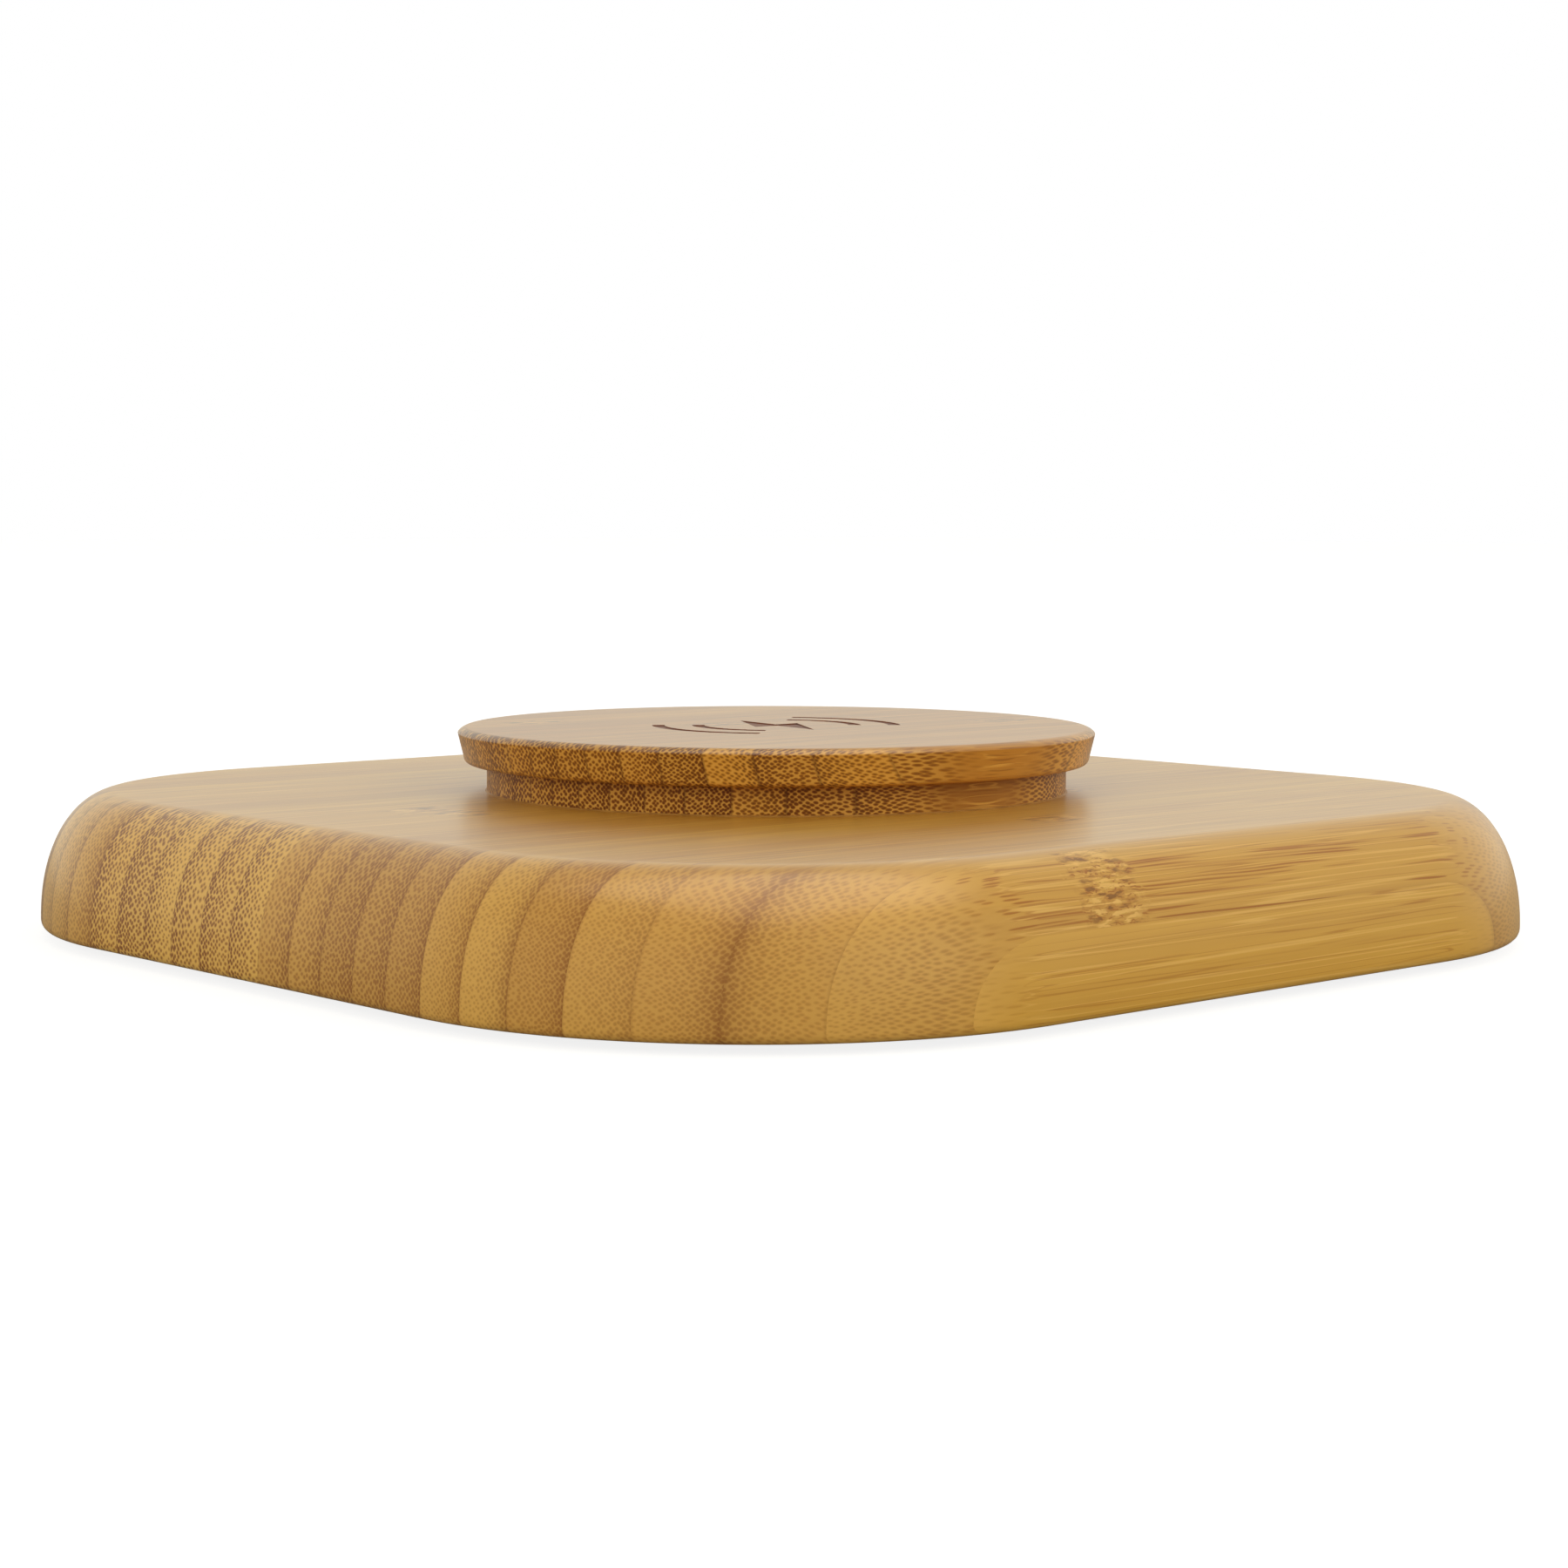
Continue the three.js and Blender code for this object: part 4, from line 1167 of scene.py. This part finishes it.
def camera():
    scale = 2 * HALF / VIEW["view_side"]
    yaw, elevation, roll = (math.radians(VIEW[key]) for key in ("yaw", "elevation", "roll"))
    turn = Matrix.Rotation(-yaw, 3, "Z")
    forward = turn @ Vector((0, math.cos(elevation), -math.sin(elevation)))
    up = turn @ Vector((0, math.sin(elevation), math.cos(elevation)))
    right = turn @ Vector((1, 0, 0))
    centre = -VIEW["distance"] * forward - VIEW["right"] * right - VIEW["up"] * up
    place = centre * scale + Vector((0, 0, BASE_BOTTOM))
    rolled_right = math.cos(roll) * right - math.sin(roll) * up
    rolled_up = math.sin(roll) * right + math.cos(roll) * up
    data = bpy.data.cameras.new("camera")
    data.sensor_width = 36
    data.lens = VIEW["focal_widths"] * data.sensor_width
    data.clip_start = 0.01
    data.clip_end = 50
    made = bpy.data.objects.new("camera", data)
    basis = Matrix((rolled_right, rolled_up, -forward)).transposed()
    made.matrix_world = Matrix.Translation(place) @ basis.to_4x4()
    bpy.context.scene.collection.objects.link(made)
    bpy.context.scene.camera = made


WARM_WHITE = (1.0, 0.995, 0.885, 1.0)


def world():
    """A white studio, bright behind the pad, and dim overhead and behind the camera.

    The camera itself sees plain white."""
    made = bpy.data.worlds.new("studio")
    made.use_nodes = True
    tree = Nodes(made.node_tree)
    direction = tree.add("ShaderNodeTexCoord").outputs["Generated"]
    yaw = math.radians(VIEW["yaw"])
    away = (math.sin(yaw), math.cos(yaw), 0)
    backwards = tree.add("ShaderNodeVectorMath", {0: direction, 1: away}, operation="DOT_PRODUCT")
    behind_camera, behind_pad, overhead = 0.12, 0.98, 0.4
    horizon = tree.step(backwards.outputs["Value"], -0.4, 0.85, behind_camera, behind_pad)
    brightness = tree.step(tree.split(direction)[2], 0.5, 1.0, horizon, overhead)
    lit = tree.add("ShaderNodeBackground", {"Color": WARM_WHITE, "Strength": brightness})
    seen = tree.add("ShaderNodeBackground", {"Color": (1, 1, 1, 1)})
    camera_ray = tree.add("ShaderNodeLightPath").outputs["Is Camera Ray"]
    choose = tree.add("ShaderNodeMixShader", {0: camera_ray, 1: lit.outputs[0], 2: seen.outputs[0]})
    tree.add("ShaderNodeOutputWorld", {"Surface": choose.outputs[0]})
    bpy.context.scene.world = made


def softbox(name, place, width, height, power):
    """An area light that faces the pad and doesn't show as a mirror image in its lacquer."""
    data = bpy.data.lights.new(name, "AREA")
    data.shape = "RECTANGLE"
    data.size = width
    data.size_y = height
    data.energy = power
    data.color = WARM_WHITE[:3]
    made = bpy.data.objects.new(name, data)
    made.location = place
    made.rotation_euler = (-Vector(place)).to_track_quat("-Z", "Y").to_euler()
    made.visible_glossy = False
    bpy.context.scene.collection.objects.link(made)
    return made


def lights():
    """Two wide boxes low down on the seen sides, and a sheen from overhead on the lacquer only."""
    width, height = 2.6, 1.1
    softbox("key", (-1.5, -0.1, 0.5), width, height, 17.5)
    softbox("fill", (0.5, -1.45, 0.65), width, height, 19.0)
    side = 1.4
    sheen = softbox("sheen", (0.0, -0.2, 1.3), side, side, 16.0)
    sheen.visible_glossy = True
    sheen.visible_diffuse = False


def floor():
    """Paper that the camera sees as pure white, though it sends little light back to the pad."""
    size, albedo, shown = 4.0, 0.32, 0.84
    tree = Tree("floor_paper")
    tree.set(Base_Color=(albedo, albedo, albedo, 1), Roughness=0.9, Specular_IOR_Level=0.1)
    camera_ray = tree.add("ShaderNodeLightPath").outputs["Is Camera Ray"]
    glow = tree.math("MULTIPLY", camera_ray, shown)
    tree.set(Emission_Color=(1, 1, 1, 1), Emission_Strength=glow)
    corners = [(-size, -size, 0), (size, -size, 0), (size, size, 0), (-size, size, 0)]
    made = mesh_object("floor", corners, [(0, 1, 2, 3)])
    made.data.materials.append(tree.material)


# ---- Assembly ----

def dress_cad_nodes():
    """Gives each CAD node that still shows the material of its slot."""
    steel = plated_metal("zinc_plate", srgb(196, 198, 200))
    looks = {
        "adhesive_tape": paper_tape(),
        "copper_strand": enamelled_copper(),
        "ferrite": ferrite(),
        "black_plastic": bpy.data.materials["black_plastic"],
        "chip_epoxy": moulded_plastic("chip_epoxy", srgb(26, 26, 28), 0.15, (0.4, 0.55)),
        "circuit_board": circuit_board(),
        "screw_steel": steel,
        "capacitor_ceramic": fired_ceramic(),
        "led_resin": led_resin(),
    }
    slots = {row["node"]: row["material_slot"] for row in frame["record"]["subparts"]}
    for name, node in frame["nodes"].items():
        if node.hide_render:
            continue
        node.data.materials.clear()
        node.data.materials.append(looks[slots[name]])


def main():
    bpy.context.scene.view_settings.view_transform = "Standard"
    camera()
    world()
    floor()
    lights()
    base_wood = bamboo("bamboo_base_wood", BASE_STRIPS, BASE_LOOK)
    disc_wood = bamboo("bamboo_disc_wood", DISC_STRIPS, DISC_LOOK)
    black = moulded_plastic("black_plastic", srgb(30, 30, 32))
    bamboo_base(base_wood)
    bamboo_disc(disc_wood, burnt_bamboo())
    glue_line(dried_glue())
    cover(black)
    rubber = silicone()
    for node in numbered("foot", 4):
        silicone_foot(node, rubber)
    socket_shell(plated_metal("nickel_plate", srgb(206, 204, 200)))
    socket_tongue(black, plated_metal("gold_plate", srgb(232, 190, 104), (0.15, 0.25)))
    light_guide(clear_acrylic())
    dress_cad_nodes()


main()
